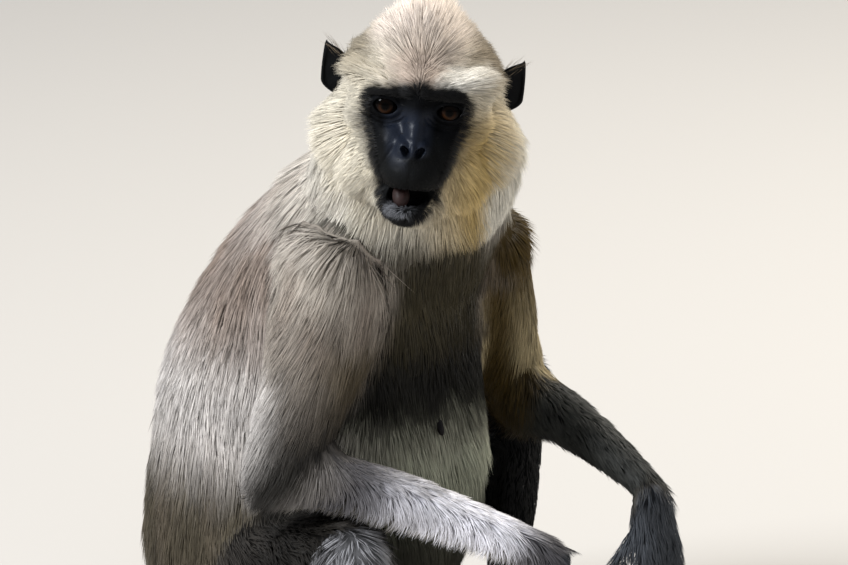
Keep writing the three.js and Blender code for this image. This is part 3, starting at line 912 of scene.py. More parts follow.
# Trunk and limbs. Each mark is laid over those before it, so their order counts.
def markBody(lie):
    high, sideways = lie.points[:, 2] / mm, lie.points[:, 0] / mm
    head, neck, leftSide = headShare(lie), shareOf(lie, "neck"), onlySide(lie, "left")
    rightSide = 1 - leftSide
    ruff = np.clip(head + neck, 0, 1)
    upperArm, forearm = shareOf(lie, "upper_arm"), shareOf(lie, "forearm")
    front = shareOf(lie, "abdomen", "chest") * ramp(lie.normals @ ahead, -0.1, 0.5)
    mark(lie, "ruffEdge", np.clip(2.2 * lie.nearRuff, 0, 1) * (1 - ruff))
    mark(lie, "ruffEdge", 0.7 * neck * ramp(-lie.normals @ ahead, -0.1, 0.6))
    mark(lie, "ruffEdge", 0.6 * upperArm * rightSide * ramp(high, 280, 322))
    chest = ramp(high, 178, 226)
    # The front of the chest darkened, deepest on the breast: mostly painted shade.
    mark(lie, "chestFrontShade", front * chest)
    mark(lie, "breastShade", front * chest * (1 - ramp(high, 235, 285)))
    mark(lie, "belly", front * (1 - chest))
    mark(lie, "bellyLow", front * (1 - ramp(high, 125, 172)))

    # The left shoulder and arm, darkened warm brown as painted shade
    mark(lie, "leftSideShade", (1 - ruff) * ramp(-lie.fromShoulder, -70, -35))
    mark(lie, "leftSideShade", leftSide * shareOf(lie, "upper_arm", "forearm"))
    outer = ramp(lie.normals[:, 0], 0.3, 0.9) * ramp(-lie.points[:, 2], -0.3, -0.22)
    mark(lie, "capeEdge", leftSide * upperArm * outer)

    # The forearms: the right one pale at the wrist, partly a painted highlight on its silver coat, and
    # brown below
    alongForearm = alongBone(lie, "forearm_right", "hand_right")
    wrist = ramp(alongForearm, -0.05, 0.55) * ramp(-alongForearm, -1.15, -0.85)
    mark(lie, "wrist", forearm * rightSide * wrist)
    mark(lie, "underArm", forearm * rightSide * ramp(-lie.normals[:, 2], 0.0, 0.6))
    # The left forearm's dark grey deepened further as painted shade.
    mark(lie, "forearmLeft", leftSide * forearm)

    # The back and the right upper arm, with long streaks, and painted shade high on the back
    long = drift(lie.points * np.array([1, 1, 0.22]), 0.03, 31)
    flank = np.clip(shareOf(lie, "abdomen", "chest") - front + upperArm * rightSide, 0, 1)
    mark(lie, "silver", flank * (1 - upperArm) * ramp(-high, -264, -225) * ramp(high, 140, 205))
    behindArm = upperArm * rightSide * ramp(-sideways, -16, 4)
    mark(lie, "silver", behindArm * ramp(-high, -270, -230) * ramp(high, 140, 185))
    onTop = 0.12 * (1 - behindArm) + 0.6 * ramp(high, 240, 300) * (1 - 0.5 * upperArm)
    mark(lie, "streakAndShade", flank * onTop * ramp(long, -0.2, 1.2))
    # The streak tone again, as painted shade high on the back and shoulder.
    mark(lie, "streakAndShade", 0.6 * (1 - head) * ramp(-sideways, -10, 30) * ramp(high, 250, 290))
    inner = upperArm * ramp(sideways, 16, 46) * ramp(-high, -296, -256)
    mark(lie, "armInner", rightSide * inner)
    outerArm = ramp(-sideways, -12, 22)
    mark(lie, "silver", rightSide * upperArm * outerArm * ramp(-high, -290, -240) * ramp(high, 150, 200))
    # Dark near the right elbow, on the upper arm and the start of the forearm: painted shade.
    lowArm = ramp(alongBone(lie, "upper_arm_right", "forearm_right") - 0.5 * outerArm, -0.15, 0.6)
    mark(lie, "elbow", rightSide * (upperArm * lowArm + forearm * ramp(-alongForearm, 0.05, 0.75)))

    # Lap and knees
    leg = shareOf(lie, "thigh", "shank")
    thigh = shareOf(lie, "thigh") + 0.75 * shareOf(lie, "abdomen") * ramp(lie.points @ ahead, 0.06, 0.1)
    onThigh = (lie.points - np.array(middle("thigh_right"))) @ kneeAhead
    # The lap over the thigh darkened nearly to black: painted shade.
    mark(lie, "lapShade", np.clip(thigh, 0, 1) * ramp(onThigh, -0.075, -0.045))
    # The left leg darkened nearly to black: painted shade.
    mark(lie, "legLeft", leftSide * leg)
    # A pale grey right knee, its brightness partly a painted highlight on the dome.
    mark(lie, "knee", lie.knee * rightSide)
    aside = np.abs((lie.points - kneeTop) @ np.cross(kneeAhead, down)) / mm
    mark(lie, "kneeFront", rightSide * leg * ramp(-aside, -13, -6) * ramp(-high, -134, -120))


def markHead(lie):
    x, y, z = lie.local.T
    head = headShare(lie)
    ruff = np.clip(head + shareOf(lie, "neck"), 0, 1)
    mark(lie, "crown", head * ramp(z, 18, 34))
    mark(lie, "temple", head * ramp(np.abs(x), 12, 28) * ramp(z, 8, 20) * ramp(-z, -44, -30))
    mark(lie, "templeShade", 0.9 * head * ramp(x, 6, 30) * ramp(z, 10, 20))
    fromWhorl = np.hypot(x, z - 20) + 0.3 * np.abs(y)
    mark(lie, "whorl", head * ramp(-fromWhorl, -26, -4))
    # Pale brow hair on the left of the head, brightened as painted sunlight.
    mark(lie, "browSunlight", head * ramp(x, 2, 12) * ramp(-x, -34, -20) * ramp(-np.abs(z - 17), -6, -2))
    rim = ramp(x, 34, 48)
    mark(lie, "shadedCheek", ruff * ramp(x, 0, 38) * ramp(-z, -18, 22) * (1 - 0.9 * rim))
    # Dark under the chin: painted shade.
    mark(lie, "throatShade", ruff * ramp(-z, 79, 90) * ramp(-y, -90, -50))
    onFace = ramp(head, 0.3, 0.6)
    # Dark hair beside the mask on the lower cheeks, deepened as painted shade.
    mark(lie, "fringe", 0.6 * onFace * ramp(-lie.edge, -12, -1) * ramp(-z, 0, 10) * ramp(z, -44, -28))
    mark(lie, "fringe", onFace * ramp(-lie.edge, -4.0, 0.5))


# The bare face and ears: black, paler on the muzzle and a blue-grey painted sheen where the nose shines.
bareTones = {"face": (4, 4, 4.5), "muzzle": (14, 14, 13.5), "nose": (24, 29, 40)}


def setBareSkin(lie):
    x, y, z = lie.local.T
    head, ears = headShare(lie), shareOf(lie, "ear")
    lie.bare = np.clip(ramp(-lie.edge, -2, 1) * ramp(head, 0.3, 0.6) + ramp(ears, 0.2, 0.6), 0, 1)
    lie.skin = blendTo(lie.roots * 0.7 + lie.tips * 0.2, tone(*bareTones["face"]), lie.bare)
    lie.skin = blendTo(lie.skin, tone(*bareTones["muzzle"]), lie.bare * ramp(-z, 14, 30))
    bridge = ramp(-np.abs(x), -13, -6) * ramp(z, -28, -22)
    slope = ramp(-np.abs(x + 15 + 0.2 * z), -9, -2) * ramp(z, -36, -24)
    nose = np.clip(bridge + slope, 0, 1) * ramp(-z, -4, 6) * ramp(-y, -28, -14) * ramp(head, 0.4, 0.8)
    # The blue-grey on the bridge and slopes of the nose is painted sheen.
    lie.skin = blendTo(lie.skin, tone(*bareTones["nose"]), 0.8 * nose * lie.bare)
    lie.gloss = lie.bare * np.clip(0.05 + 0.9 * nose + 0.4 * ears, 0, 1)


def setTones(lie):
    lie.roots = lie.shares @ np.array([tone(*coatTones[kindOf(n)][0]) for n in fleshNodes])
    lie.tips = lie.shares @ np.array([tone(*coatTones[kindOf(n)][1]) for n in fleshNodes])
    markBody(lie)
    markHead(lie)
    setBareSkin(lie)


def unwrapSkin():
    bpy.context.view_layer.objects.active = skin
    skin.select_set(True)
    bpy.ops.object.mode_set(mode="EDIT")
    bpy.ops.mesh.select_all(action="SELECT")
    bpy.ops.uv.smart_project(angle_limit=math.radians(66), island_margin=0.002)
    bpy.ops.object.mode_set(mode="OBJECT")
    skin.select_set(False)
    skin.data.uv_layers[0].name = "OFBake"


lie = readSkin()
setFlow(lie)
setHair(lie)
setTones(lie)
unwrapSkin()
print("lie of the coat")


def addNode(tree, kind, **values):
    node = tree.nodes.new(kind)
    for key, value in values.items():
        if key in node.inputs:
            node.inputs[key].default_value = value
        else:
            setattr(node, key, value)
    return node


def setColours(data, name, colours):
    layer = data.color_attributes.new(name, "FLOAT_COLOR", "POINT")
    full = np.ones((len(colours), 4))
    full[:, :3] = colours
    layer.data.foreach_set("color", full.ravel())


coatLook = {"roughness": 0.55, "specular": 0.18}


def paintCoat():
    paint, tree, shader = newPaint("coatPaint", coatLook["roughness"])
    colour = addNode(tree, "ShaderNodeAttribute", attribute_name="coatColour")
    tree.links.new(colour.outputs["Color"], shader.inputs["Base Color"])
    shader.inputs["Specular IOR Level"].default_value = coatLook["specular"]
    return paint


# Fine grain for bare skin and horn: a bump in the Normal, with its size and its depth in metres.
def makeGrain():
    group = bpy.data.node_groups.new("fineGrain", "ShaderNodeTree")
    for name, value in (("Scale", 900.0), ("Depth", 0.0006)):
        socket = group.interface.new_socket(name, in_out="INPUT", socket_type="NodeSocketFloat")
        socket.default_value = value
    group.interface.new_socket("Normal", in_out="OUTPUT", socket_type="NodeSocketVector")
    inside = addNode(group, "NodeGroupInput")
    outside = addNode(group, "NodeGroupOutput")
    place = addNode(group, "ShaderNodeTexCoord")
    cells = addNode(group, "ShaderNodeTexVoronoi")
    grain = addNode(group, "ShaderNodeTexNoise", Detail=4.0)
    both = addNode(group, "ShaderNodeMath", operation="MULTIPLY_ADD")
    both.inputs[1].default_value = 0.5
    bump = addNode(group, "ShaderNodeBump", Strength=0.35)
    link = group.links.new
    link(place.outputs["Object"], cells.inputs["Vector"])
    link(place.outputs["Object"], grain.inputs["Vector"])
    link(inside.outputs["Scale"], cells.inputs["Scale"])
    link(inside.outputs["Scale"], grain.inputs["Scale"])
    link(cells.outputs["Distance"], both.inputs[0])
    link(grain.outputs["Fac"], both.inputs[2])
    link(both.outputs["Value"], bump.inputs["Height"])
    link(inside.outputs["Depth"], bump.inputs["Distance"])
    link(bump.outputs["Normal"], outside.inputs["Normal"])
    return group


def addGrain(tree, shader, scale, depth):
    grain = addNode(tree, "ShaderNodeGroup", node_tree=fineGrain)
    grain.inputs["Scale"].default_value = scale
    grain.inputs["Depth"].default_value = depth
    tree.links.new(grain.outputs["Normal"], shader.inputs["Normal"])


# Bare skin: dull to shiny by the gloss kept on its points, with a thin wax-like layer where it shines.
skinLook = {
    "dull": 0.72, "shiny": 0.38, "specular": 0.06, "tint": (0.8, 0.88, 1, 1),
    "wax": 0.17, "waxRoughness": 0.36, "grain": (700.0, 0.0008),
}


def paintSkin():
    paint, tree, shader = newPaint("skinPaint", skinLook["dull"])
    colour = addNode(tree, "ShaderNodeAttribute", attribute_name="skinColour")
    gloss = addNode(tree, "ShaderNodeAttribute", attribute_name="skinGloss")
    rough = addNode(tree, "ShaderNodeMapRange")
    rough.inputs["To Min"].default_value = skinLook["dull"]
    rough.inputs["To Max"].default_value = skinLook["shiny"]
    shader.inputs["Specular IOR Level"].default_value = skinLook["specular"]
    shader.inputs["Specular Tint"].default_value = skinLook["tint"]
    shader.inputs["Coat Roughness"].default_value = skinLook["waxRoughness"]
    wax = addNode(tree, "ShaderNodeMath", operation="MULTIPLY")
    wax.inputs[1].default_value = skinLook["wax"]
    tree.links.new(gloss.outputs["Fac"], wax.inputs[0])
    tree.links.new(wax.outputs["Value"], shader.inputs["Coat Weight"])
    tree.links.new(gloss.outputs["Fac"], rough.inputs["Value"])
    tree.links.new(rough.outputs["Result"], shader.inputs["Roughness"])
    tree.links.new(colour.outputs["Color"], shader.inputs["Base Color"])
    addGrain(tree, shader, *skinLook["grain"])
    return paint


def setSkinLook(data, colours, gloss):
    setColours(data, "skinColour", colours)
    data.attributes.new("skinGloss", "FLOAT", "POINT").data.foreach_set("value", gloss)


fineGrain = makeGrain()
coatPaint = paintCoat()
skinPaint = paintSkin()
setSkinLook(skin.data, lie.skin, lie.gloss)
skin.data.materials.append(skinPaint)
print("skin painted")

triangleCorners = meshTriangles(skin.data)
skinUv = readRows(skin.data.uv_layers[0].data, "uv", 2)
triangleUv = skinUv[meshTriangles(skin.data, "loops")]


# The values of the skin's points at places inside its triangles.
def atRoots(values, pick, parts):
    corners = values[triangleCorners[pick]]
    return (corners * parts.reshape(parts.shape + (1,) * (corners.ndim - 2))).sum(axis=1)


# Which clump each tuft belongs to: the cell it falls in, in a bent grid of cells.
def clumpsOf(points, size, seed):
    bend = np.stack([drift(points, 2.5 * size, seed + k) for k in range(3)], axis=1)
    cells = np.floor(points / size + 0.5 * bend).astype(np.int64)
    keys = cells[:, 0] * 73856093 ^ cells[:, 1] * 19349663 ^ cells[:, 2] * 83492791
    return np.unique(keys, return_inverse=True)[1]


def meanOf(values, groups):
    count = np.bincount(groups)[:, None]
    return np.stack([np.bincount(groups, values[:, k]) for k in range(values.shape[1])], axis=1) / count


# How tufts vary: shares of the usual size, turns in radians, how far clumps draw their tips together.
tuft = {
    "lengths": (0.7, 1.2), "heights": (0.55, 1.05), "widths": (0.7, 1.25), "uneven": 0.1,
    "sway": 0.09, "stray": 0.08, "clumpTurn": 0.05, "pull": 0.32, "pullVaries": 0.12,
    "rootDepth": 0.4, "floorGap": 0.3,  # millimetres under the skin and over the floor
    "skinShading": 0.6,  # how far a tuft is shaded as the skin under it
    "shades": (0.16, 0.08, 0.1), "darkest": 0.4, "lightest": 1.6, "patch": 0.003,
}


# Spindles of five points each: a root, a ring of three and a tip.
def shapeTufts(lie, pick, parts, clump, seed):
    count = len(pick)
    root = atRoots(lie.points, pick, parts)
    normal = unit(atRoots(lie.normals, pick, parts))
    flow = unit(atRoots(lie.flow, pick, parts))
    length = atRoots(lie.length, pick, parts) * rng.uniform(*tuft["lengths"], count)
    height = atRoots(lie.height, pick, parts) * rng.uniform(*tuft["heights"], count)
    width = atRoots(lie.width, pick, parts) * rng.uniform(*tuft["widths"], count)
    groups = clumpsOf(root, clump * mm, seed)
    ofClump = rng.normal(size=(groups.max() + 1, 3))[groups]

    uneven = tuft["uneven"]
    height = height * (1 + uneven * ofClump[:, 0] + uneven * drift(root, 0.03, seed + 5))
    height = np.clip(height, 0.05 * length, 0.9 * length)
    turn = tuft["sway"] * drift(root, 0.045, seed + 9)
    turn = turn + tuft["stray"] * rng.normal(size=count) + tuft["clumpTurn"] * ofClump[:, 1]
    way = flow * np.cos(turn)[:, None] + np.cross(normal, flow) * np.sin(turn)[:, None]
    along = np.sqrt(np.maximum(length**2 - height**2, 0))
    tip = root + way * along[:, None] + normal * height[:, None]
    pull = np.clip(tuft["pull"] + tuft["pullVaries"] * ofClump[:, 2], 0, 0.6)[:, None]
    tip += pull * (meanOf(tip, groups)[groups] - tip)
    bow = root + way * (0.4 * along)[:, None] + normal * (0.75 * height)[:, None]
    ringMiddle = 0.3 * root + 0.45 * bow + 0.25 * tip

    axis = unit(tip - root)
    across = unit(np.cross(axis, normal) + 1e-9)
    upward = np.cross(across, axis)
    spin = rng.uniform(0, 2 * np.pi, count)
    ring = []
    for k in range(3):
        angle = (spin + k * 2 * np.pi / 3)[:, None]
        aside = across * np.cos(angle) + upward * 0.6 * np.sin(angle)
        ring.append(ringMiddle + aside * (width / 2)[:, None])
    points = np.stack([root - normal * tuft["rootDepth"] * mm, *ring, tip], axis=1).reshape(-1, 3)
    points[:, 2] = np.maximum(points[:, 2], tuft["floorGap"] * mm)
    return points, root, normal, ofClump


# The six faces of each closed spindle, and the corners they stand on.
def meshTufts(name, points, normal):
    first = np.arange(len(normal))[:, None, None] * 5
    pattern = np.array([(0, 1, 2), (0, 2, 3), (0, 3, 1), (4, 2, 1), (4, 3, 2), (4, 1, 3)])
    corners = (first + pattern).ravel()
    data = bpy.data.meshes.new(name)
    data.vertices.add(len(points))
    data.vertices.foreach_set("co", points.ravel())
    data.loops.add(len(corners))
    data.loops.foreach_set("vertex_index", corners)
    data.polygons.add(len(corners) // 3)
    data.polygons.foreach_set("loop_start", np.arange(0, len(corners), 3))
    data.update(calc_edges=True)
    data.shade_smooth()
    share = tuft["skinShading"]
    soft = unit(np.repeat(normal, 5, axis=0) * share + meshNormals(data) * (1 - share))
    data.normals_split_custom_set_from_vertices(soft)
    return data, corners


# One piece of coat, thickest where the weight and the hair's growth are greatest.
def growTufts(name, lie, weight, count, clump, seed):
    own = weight * lie.growth
    a, b, c = (lie.points[triangleCorners[:, k]] for k in range(3))
    pick, parts = scatter(rng, triangleAreas(a, b, c) * own[triangleCorners].mean(axis=1), count)
    points, root, normal, ofClump = shapeTufts(lie, pick, parts, clump, seed)
    data, corners = meshTufts(name, points, normal)

    each, byClump, broad = tuft["shades"]
    shade = 1 + each * rng.normal(size=count) + byClump * ofClump[:, 1]
    shade = shade + broad * drift(root, 0.05, seed + 20)
    shade = np.clip(shade, tuft["darkest"], tuft["lightest"])[:, None]
    # Dark roots and pale tips: partly the hair's own colour, partly painted shade deep in the coat.
    dark = atRoots(lie.roots, pick, parts) * shade
    light = atRoots(lie.tips, pick, parts) * shade
    between = dark * 0.45 + light * 0.55
    colours = np.stack([dark, between, between, between, light], axis=1)
    setColours(data, "coatColour", colours.reshape(-1, 3))

    centre = (triangleUv[pick] * parts[:, :, None]).sum(axis=1)
    reach = tuft["patch"] / 2
    offsets = np.array([(-reach, 0), (0, reach), (0, 0), (0, -reach), (reach, 0)])
    uv = (centre[:, None] + offsets).reshape(-1, 2)[corners]
    data.uv_layers.new(name="OFBake").data.foreach_set("uv", uv.ravel())
    data.materials.append(coatPaint)
    made = bpy.data.objects.new(name, data)
    bpy.context.collection.objects.link(made)
    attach(made, "root")
    print(name, count, "tufts")


right, left = onlySide(lie, "right"), onlySide(lie, "left")
arm = shareOf(lie, "upper_arm", "forearm", "hand")
leg = shareOf(lie, "thigh", "shank", "foot")
crownward = ramp(lie.local[:, 2], -6, 6)
# The coat's pieces: slot, where each grows, how many tufts, the size of a clump in millimetres, seed.
coatPieces = {
    "coatCrown": ("mane", headShare(lie) * crownward, 30000, 6, 100),
    "coatCheeks": ("mane", headShare(lie) * (1 - crownward), 30000, 6, 200),
    "coatNeck": ("mane", shareOf(lie, "neck"), 26000, 8, 300),
    "coatChest": ("coat", shareOf(lie, "chest"), 30000, 9, 400),
    "coatBelly": ("coat", shareOf(lie, "abdomen"), 32000, 9, 500),
    "coatArmRight": ("limb_coat", arm * right, 32000, 8, 600),
    "coatArmLeft": ("limb_coat", arm * left, 26000, 8, 700),
    "coatLegs": ("limb_coat", leg, 30000, 8, 800),
    "coatTail": ("coat", shareOf(lie, "tail"), 8500, 6, 900),
}
for name, (slot, weight, count, clump, seed) in coatPieces.items():
    growTufts(name, lie, weight, count, clump, seed)


# The same skin with hair of another kind: sizes in millimetres, one for all its points or one for each.
def otherHair(lie, growth, length, height, width, root, tip):
    own = SimpleNamespace(**vars(lie))
    own.growth = growth
    for name, value in (("length", length), ("height", height), ("width", width)):
        setattr(own, name, np.full(len(lie.points), value * mm))
    own.roots = np.ones((len(lie.points), 3)) * tone(*root)
    own.tips = np.ones((len(lie.points), 3)) * tone(*tip)
    return own


# Short bristles on the face: black on the brow, lips and chin, pale along the edge of the lower lip.
def growBristles(lie):
    x, y, z = lie.local.T
    inside = ramp(-lie.edge, -1, 1) * ramp(headShare(lie), 0.4, 0.7) * ramp(-y, -30, -18)
    brow = ramp(z, 6, 11)
    lips = ramp(-z, 40, 46) * ramp(-y, -4, 4)
    jaw = ramp(-z, 54, 60)
    lowerLip = ramp(-z, 58, 59.5) * ramp(z, -64, -61.5) * ramp(-y, 6, 10) * ramp(-x, -5, 2)
    growth = inside * (0.015 + 3 * brow + 0.5 * lips + 1.4 * jaw + 0.6 * lowerLip)
    length, height = 2.6 + 5.5 * brow + 2.4 * jaw, 1.2 + 3.2 * brow + 1.6 * jaw
    own = otherHair(lie, growth, length, height, 0.32, (7, 7, 8), (7, 7, 8))
    own.tips = blendTo(own.roots * 1.4, tone(150, 152, 158), lowerLip * 0.6)
    growTufts("coatFace", own, 1.0, 5200, 3, 1000)


# Long thin hairs along the top of each ear, reaching up and out.
def growEarHair(lie):
    x, _, z = lie.local.T
    growth = ramp(shareOf(lie, "ear"), 0.3, 0.8) * ramp(z, 4, 9) * ramp(-np.abs(x), -58, -50)
    own = otherHair(lie, growth, 15, 3, 0.24, (60, 52, 44), (150, 134, 112))
    reach = wayToWorld(np.stack([0.9 * np.sign(x), 0.3 + 0 * x, 1 + 0 * x], axis=1))
    own.flow = unit(reach - lie.normals * (reach * lie.normals).sum(axis=1, keepdims=True))
    growTufts("coatEars", own, 1.0, 90, 3, 1100)


growBristles(lie)
growEarHair(lie)


# The eye by the distance from the middle of its gaze: pupil, iris, the iris's dark edge, and the rest.
iris = {
    "roughness": 0.05, "ior": 1.33, "specular": 0.1, "fibres": (26.0, 3.0), "ragged": 0.03, "cornea": 0.04,
    "rings": {
        0.105: (2, 1, 1), 0.13: (22, 13, 8), 0.19: (56, 34, 19),
        0.24: (40, 24, 14), 0.28: (10, 6, 5), 0.34: (8, 6, 5),
    },
    # Painted shade from the brow: its height on the gaze map, from dark to pale, and how pale
    "shade": {"From Min": 0.58, "From Max": 0.38, "To Min": 0.05, "To Max": 0.7},
}


def paintEye():
    paint, tree, shader = newPaint("eyePaint", iris["roughness"])
    shader.inputs["IOR"].default_value = iris["ior"]
    shader.inputs["Specular IOR Level"].default_value = iris["specular"]
    place = addNode(tree, "ShaderNodeUVMap", uv_map="gaze")
    centred = addNode(tree, "ShaderNodeVectorMath", operation="SUBTRACT")
    centred.inputs[1].default_value = (0.5, 0.5, 0)
    far = addNode(tree, "ShaderNodeVectorMath", operation="LENGTH")
    scale, detail = iris["fibres"]
    fibres = addNode(tree, "ShaderNodeTexNoise", Scale=scale, Detail=detail)
    bent = addNode(tree, "ShaderNodeMath", operation="MULTIPLY_ADD")
    bent.inputs[1].default_value = iris["ragged"]
    parts = addNode(tree, "ShaderNodeSeparateXYZ")
    lower = addNode(tree, "ShaderNodeMapRange", **iris["shade"])
    shaded = addNode(tree, "ShaderNodeVectorMath", operation="SCALE")
    rings = addNode(tree, "ShaderNodeValToRGB")
    stops = rings.color_ramp.elements
    for radius, colour in iris["rings"].items():
        stops.new(radius).color = (*tone(*colour), 1)
    stops.remove(stops[0])
    stops.remove(stops[-1])
    link = tree.links.new
    link(place.outputs["UV"], centred.inputs[0])
    link(centred.outputs["Vector"], far.inputs[0])
    link(place.outputs["UV"], fibres.inputs["Vector"])
    link(fibres.outputs["Fac"], bent.inputs[0])
    link(far.outputs["Value"], bent.inputs[2])
    link(bent.outputs["Value"], rings.inputs["Fac"])
    link(place.outputs["UV"], parts.inputs["Vector"])
    link(parts.outputs["Y"], lower.inputs["Value"])
    link(rings.outputs["Color"], shaded.inputs[0])
    link(lower.outputs["Result"], shaded.inputs["Scale"])
    link(shaded.outputs["Vector"], shader.inputs["Base Color"])
    return paint


def makeEye(node, paint):
    radius = halfSize(node).x
    shape = bmesh.new()
    gaze = shape.loops.layers.uv.new("gaze")
    bmesh.ops.create_uvsphere(shape, u_segments=56, v_segments=40, radius=1)
    bmesh.ops.rotate(shape, verts=shape.verts, matrix=Matrix.Rotation(math.pi / 2, 3, "X"))
    for face in shape.faces:
        for loop in face.loops:
            loop[gaze].uv = (0.5 + loop.vert.co.x / 2, 0.5 + loop.vert.co.z / 2)
    for vert in shape.verts:
        vert.co *= 0.985 + iris["cornea"] * max(0.0, -vert.co.y - 0.8) / 0.2
    turn = headToWorld.to_3x3().normalized().to_4x4()
    place = Matrix.Translation(middle(node)) @ turn @ Matrix.Scale(radius, 4)
    bmesh.ops.transform(shape, matrix=place, verts=shape.verts)
    made = makeObject(node.replace("eye_", "eyeball_"), shape)
    made.data.shade_smooth()
    made.data.materials.append(paint)
    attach(made, "root")
    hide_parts(node)
    print(made.name)


eyePaint = paintEye()
makeEye("eye_right", eyePaint)
makeEye("eye_left", eyePaint)


# Two tones that drift into each other over a piece, with fine grain.
def paintPatches(name, look):
    paint, tree, shader = newPaint(name, look["roughness"])
    shader.inputs["Specular IOR Level"].default_value = look["specular"]
    place = addNode(tree, "ShaderNodeTexCoord")
    scale, detail = look["patches"]
    patches = addNode(tree, "ShaderNodeTexNoise", Scale=scale, Detail=detail)
    tones = addNode(tree, "ShaderNodeValToRGB")
    for stop, colour in zip(tones.color_ramp.elements, look["tones"]):
        stop.color = (*tone(*colour), 1)
    tree.links.new(place.outputs["Object"], patches.inputs["Vector"])
    tree.links.new(patches.outputs["Fac"], tones.inputs["Fac"])
    tree.links.new(tones.outputs["Color"], shader.inputs["Base Color"])
    addGrain(tree, shader, *look["grain"])
    return paint


# The tongue's sizes are shares of its solid's, sideways and upwards.
tongue = {
    "width": 0.66, "aside": -0.36, "height": 2.1, "tipHeight": 0.35, "slope": 0.5, "lower": 0.9,
    "groove": 0.22, "grooveWidth": 0.16,
    "roughness": 0.62, "specular": 0.3, "patches": (260.0, 3.0), "grain": (1500.0, 0.0003),
    # A dark red, darkened as painted shade inside the mouth.
    "tones": ((18, 8, 7), (41, 20, 17)),
}


def makeTongue():
    centre, half = middle("tongue"), halfSize("tongue")
    shape = bmesh.new()
    bmesh.ops.create_uvsphere(shape, u_segments=40, v_segments=24, radius=1)
    for vert in shape.verts:
        p = vert.co
        groove = tongue["groove"] * math.exp(-((p.x / tongue["grooveWidth"]) ** 2)) * max(0.0, p.z)
        thick = tongue["height"] * p.z * (1 + tongue["tipHeight"] * max(0.0, -p.y))
        p.z = thick - groove + tongue["slope"] * p.y - tongue["lower"]
        p.x = tongue["width"] * math.copysign(abs(p.x) ** 0.8, p.x) + tongue["aside"]
    place = Matrix.Translation(centre) @ Matrix.Diagonal((*half, 1))
    bmesh.ops.transform(shape, matrix=place, verts=shape.verts)
    made = makeObject("tongueForm", shape)
    made.data.shade_smooth()
    made.data.materials.append(paintPatches("tonguePaint", tongue))
    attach(made, "root")
    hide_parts("tongue")
    print(made.name)


makeTongue()


nail = {
    "halfWidth": 2.7, "halfLength": 5.0, "halfThick": 0.75, "inset": 3.4, "droop": 0.09, "hook": 0.035,
    "roughness": 0.3, "specular": 0.5, "patches": (380.0, 2.0), "grain": (2200.0, 0.0002),
    "tones": ((14, 12, 12), (52, 46, 42)),
}
# What counts as a digit's tip, in millimetres: how far apart two are, and how much round one tells its way.
digit = {"apart": 5, "around": 15, "straight": 0.6, "longShare": 0.8}
skinTree = BVHTree.FromPolygons(lie.points.tolist(), triangleCorners.tolist())


# The tips of a hand's or foot's digits: the places on its solid that are further from the wrist or ankle
# than all round them. Four lie far out, and the thumb or big toe nearer and to one side.
def digitTips(node, wrist, way):
    solid = mergedNode(node)
    tips = []
    for vert in solid.verts:
        far = (vert.co - wrist).length
        straight = (vert.co - wrist).normalized().dot(way)
        inner = any((edge.other_vert(vert).co - wrist).length > far for edge in vert.link_edges)
        if inner or straight < digit["straight"]:
            continue
        if any((vert.co - tip.place).length < digit["apart"] * mm for tip in tips):
            continue
        near = [v.co for v in solid.verts if (v.co - vert.co).length < digit["around"] * mm]
        along = (vert.co - sum(near, Vector()) / len(near)).normalized()
        tips.append(SimpleNamespace(place=vert.co.copy(), along=along, far=far, straight=straight))
    solid.free()
    reach = digit["longShare"] * max(tip.far for tip in tips)
    short = min((tip for tip in tips if tip.far < reach), key=lambda tip: tip.straight)
    return [tip for tip in tips if tip.far >= reach] + [short]


# A bent plate laid on the skin behind the tip of a digit.
def addNail(shape, tip, outwards):
    up = (outwards - tip.along * outwards.dot(tip.along)).normalized()
    start = tip.place - tip.along * nail["inset"] * mm + up * 12 * mm
    place = skinTree.ray_cast(start, -up, 0.03)[0]
    if place is None:
        return
    plate = bmesh.ops.create_uvsphere(shape, u_segments=20, v_segments=14, radius=1)["verts"]
    for vert in plate:
        p = vert.co
        x, y, z = p.x * nail["halfWidth"], p.y * nail["halfLength"], p.z * nail["halfThick"]
        bend = nail["droop"] * x * x + nail["hook"] * max(0.0, y + 1) ** 2
        vert.co = (x * (1 - 0.12 * p.y), y + 1.2, z - bend + 0.1)
    turn = Matrix((tip.along.cross(up), tip.along, up)).transposed().to_4x4()
    bmesh.ops.transform(shape, matrix=Matrix.Translation(place) @ turn @ Matrix.Scale(mm, 4), verts=plate)


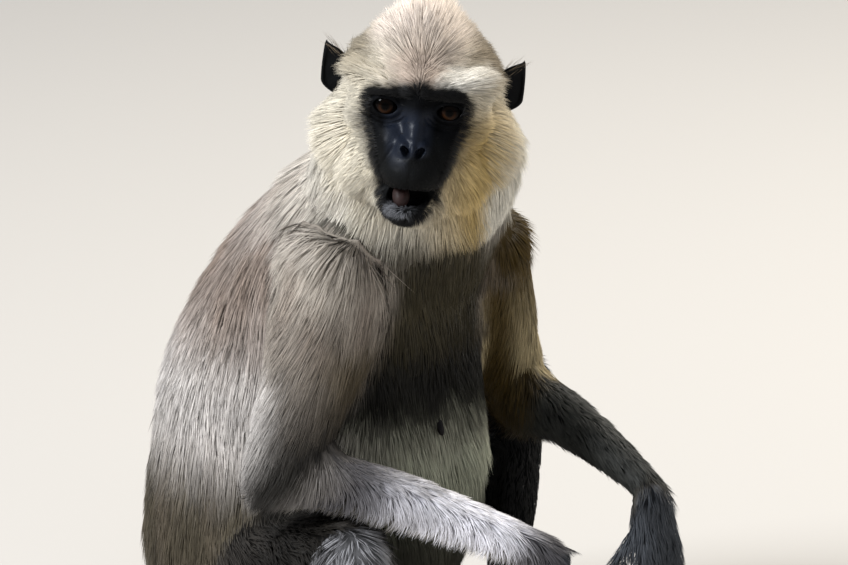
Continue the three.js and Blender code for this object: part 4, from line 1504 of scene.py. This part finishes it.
def makeNails(node, paint):
    part, side = node.split("_")
    points = nodePoints(node)
    wrist = Vector(jointOf({"hand": "forearm", "foot": "shank"}[part] + f"_{side}", node))
    way = Vector(points.mean(axis=0)) - wrist
    if part == "foot":
        way.z = 0
    tips = digitTips(node, wrist, way.normalized())
    outwards = Vector((0, 0, 1))
    if part == "hand":
        outwards = Vector(np.linalg.svd(points - points.mean(axis=0), full_matrices=False)[2][2])
        curl = sum((tip.place for tip in tips), Vector()) / len(tips) - Vector(points.mean(axis=0))
        if curl.dot(outwards) > 0:
            outwards.negate()
    shape = bmesh.new()
    for tip in tips:
        addNail(shape, tip, outwards)
    made = makeObject(f"nails{part.title()}{side.title()}", shape)
    made.data.shade_smooth()
    made.data.materials.append(paint)
    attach(made, "root")
    print(made.name, len(tips), "nails")


nailPaint = paintPatches("nailPaint", nail)
for part in ("hand", "foot"):
    for side in sides:
        makeNails(f"{part}_{side}", nailPaint)


# Two nipples low on the chest: how far to the left of its middle, how far below it, and their colours. The
# first one's dark colours are painted shade.
nipples = [
    (-33, 68, (16, 14, 14), (24, 21, 21)),
    (52, 72, (150, 104, 90), (206, 150, 130)),
]
nippleForm = {"ahead": 75, "radius": 2.4, "length": 6, "out": 5, "swell": 0.5, "hang": 0.6, "gloss": 0.5}


def makeNipples():
    shape = bmesh.new()
    colours = {}
    trunk = shareOf(lie, "chest", "abdomen")
    for aside, below, root, tip in nipples:
        way = ahead * nippleForm["ahead"] + leftward * aside + down * below
        far = np.linalg.norm(lie.points - np.array(middle("chest")) - way * mm, axis=1) + (trunk < 0.8)
        place, normal = lie.points[far.argmin()], lie.normals[far.argmin()]
        ball = bmesh.ops.create_uvsphere(shape, u_segments=20, v_segments=16, radius=1)["verts"]
        colours.update({v: tone(*(tip if v.co.z > 0.2 else root)) for v in ball})
        for vert in ball:
            wide = nippleForm["radius"] * (1 + nippleForm["swell"] * max(0.0, -vert.co.z))
            vert.co.xy *= wide
            vert.co.z = nippleForm["out"] + vert.co.z * nippleForm["length"]
        hang = Vector(nippleForm["hang"] * normal + down).normalized()
        turn = hang.to_track_quat("Z", "Y").to_matrix().to_4x4()
        matrix = Matrix.Translation(place) @ turn @ Matrix.Scale(mm, 4)
        bmesh.ops.transform(shape, matrix=matrix, verts=ball)
    colours = [colours[v] for v in shape.verts]
    made = makeObject("nipples", shape)
    made.data.shade_smooth()
    setSkinLook(made.data, np.array(colours), [nippleForm["gloss"]] * len(colours))
    made.data.materials.append(skinPaint)
    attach(made, "root")
    print(made.name)


makeNipples()
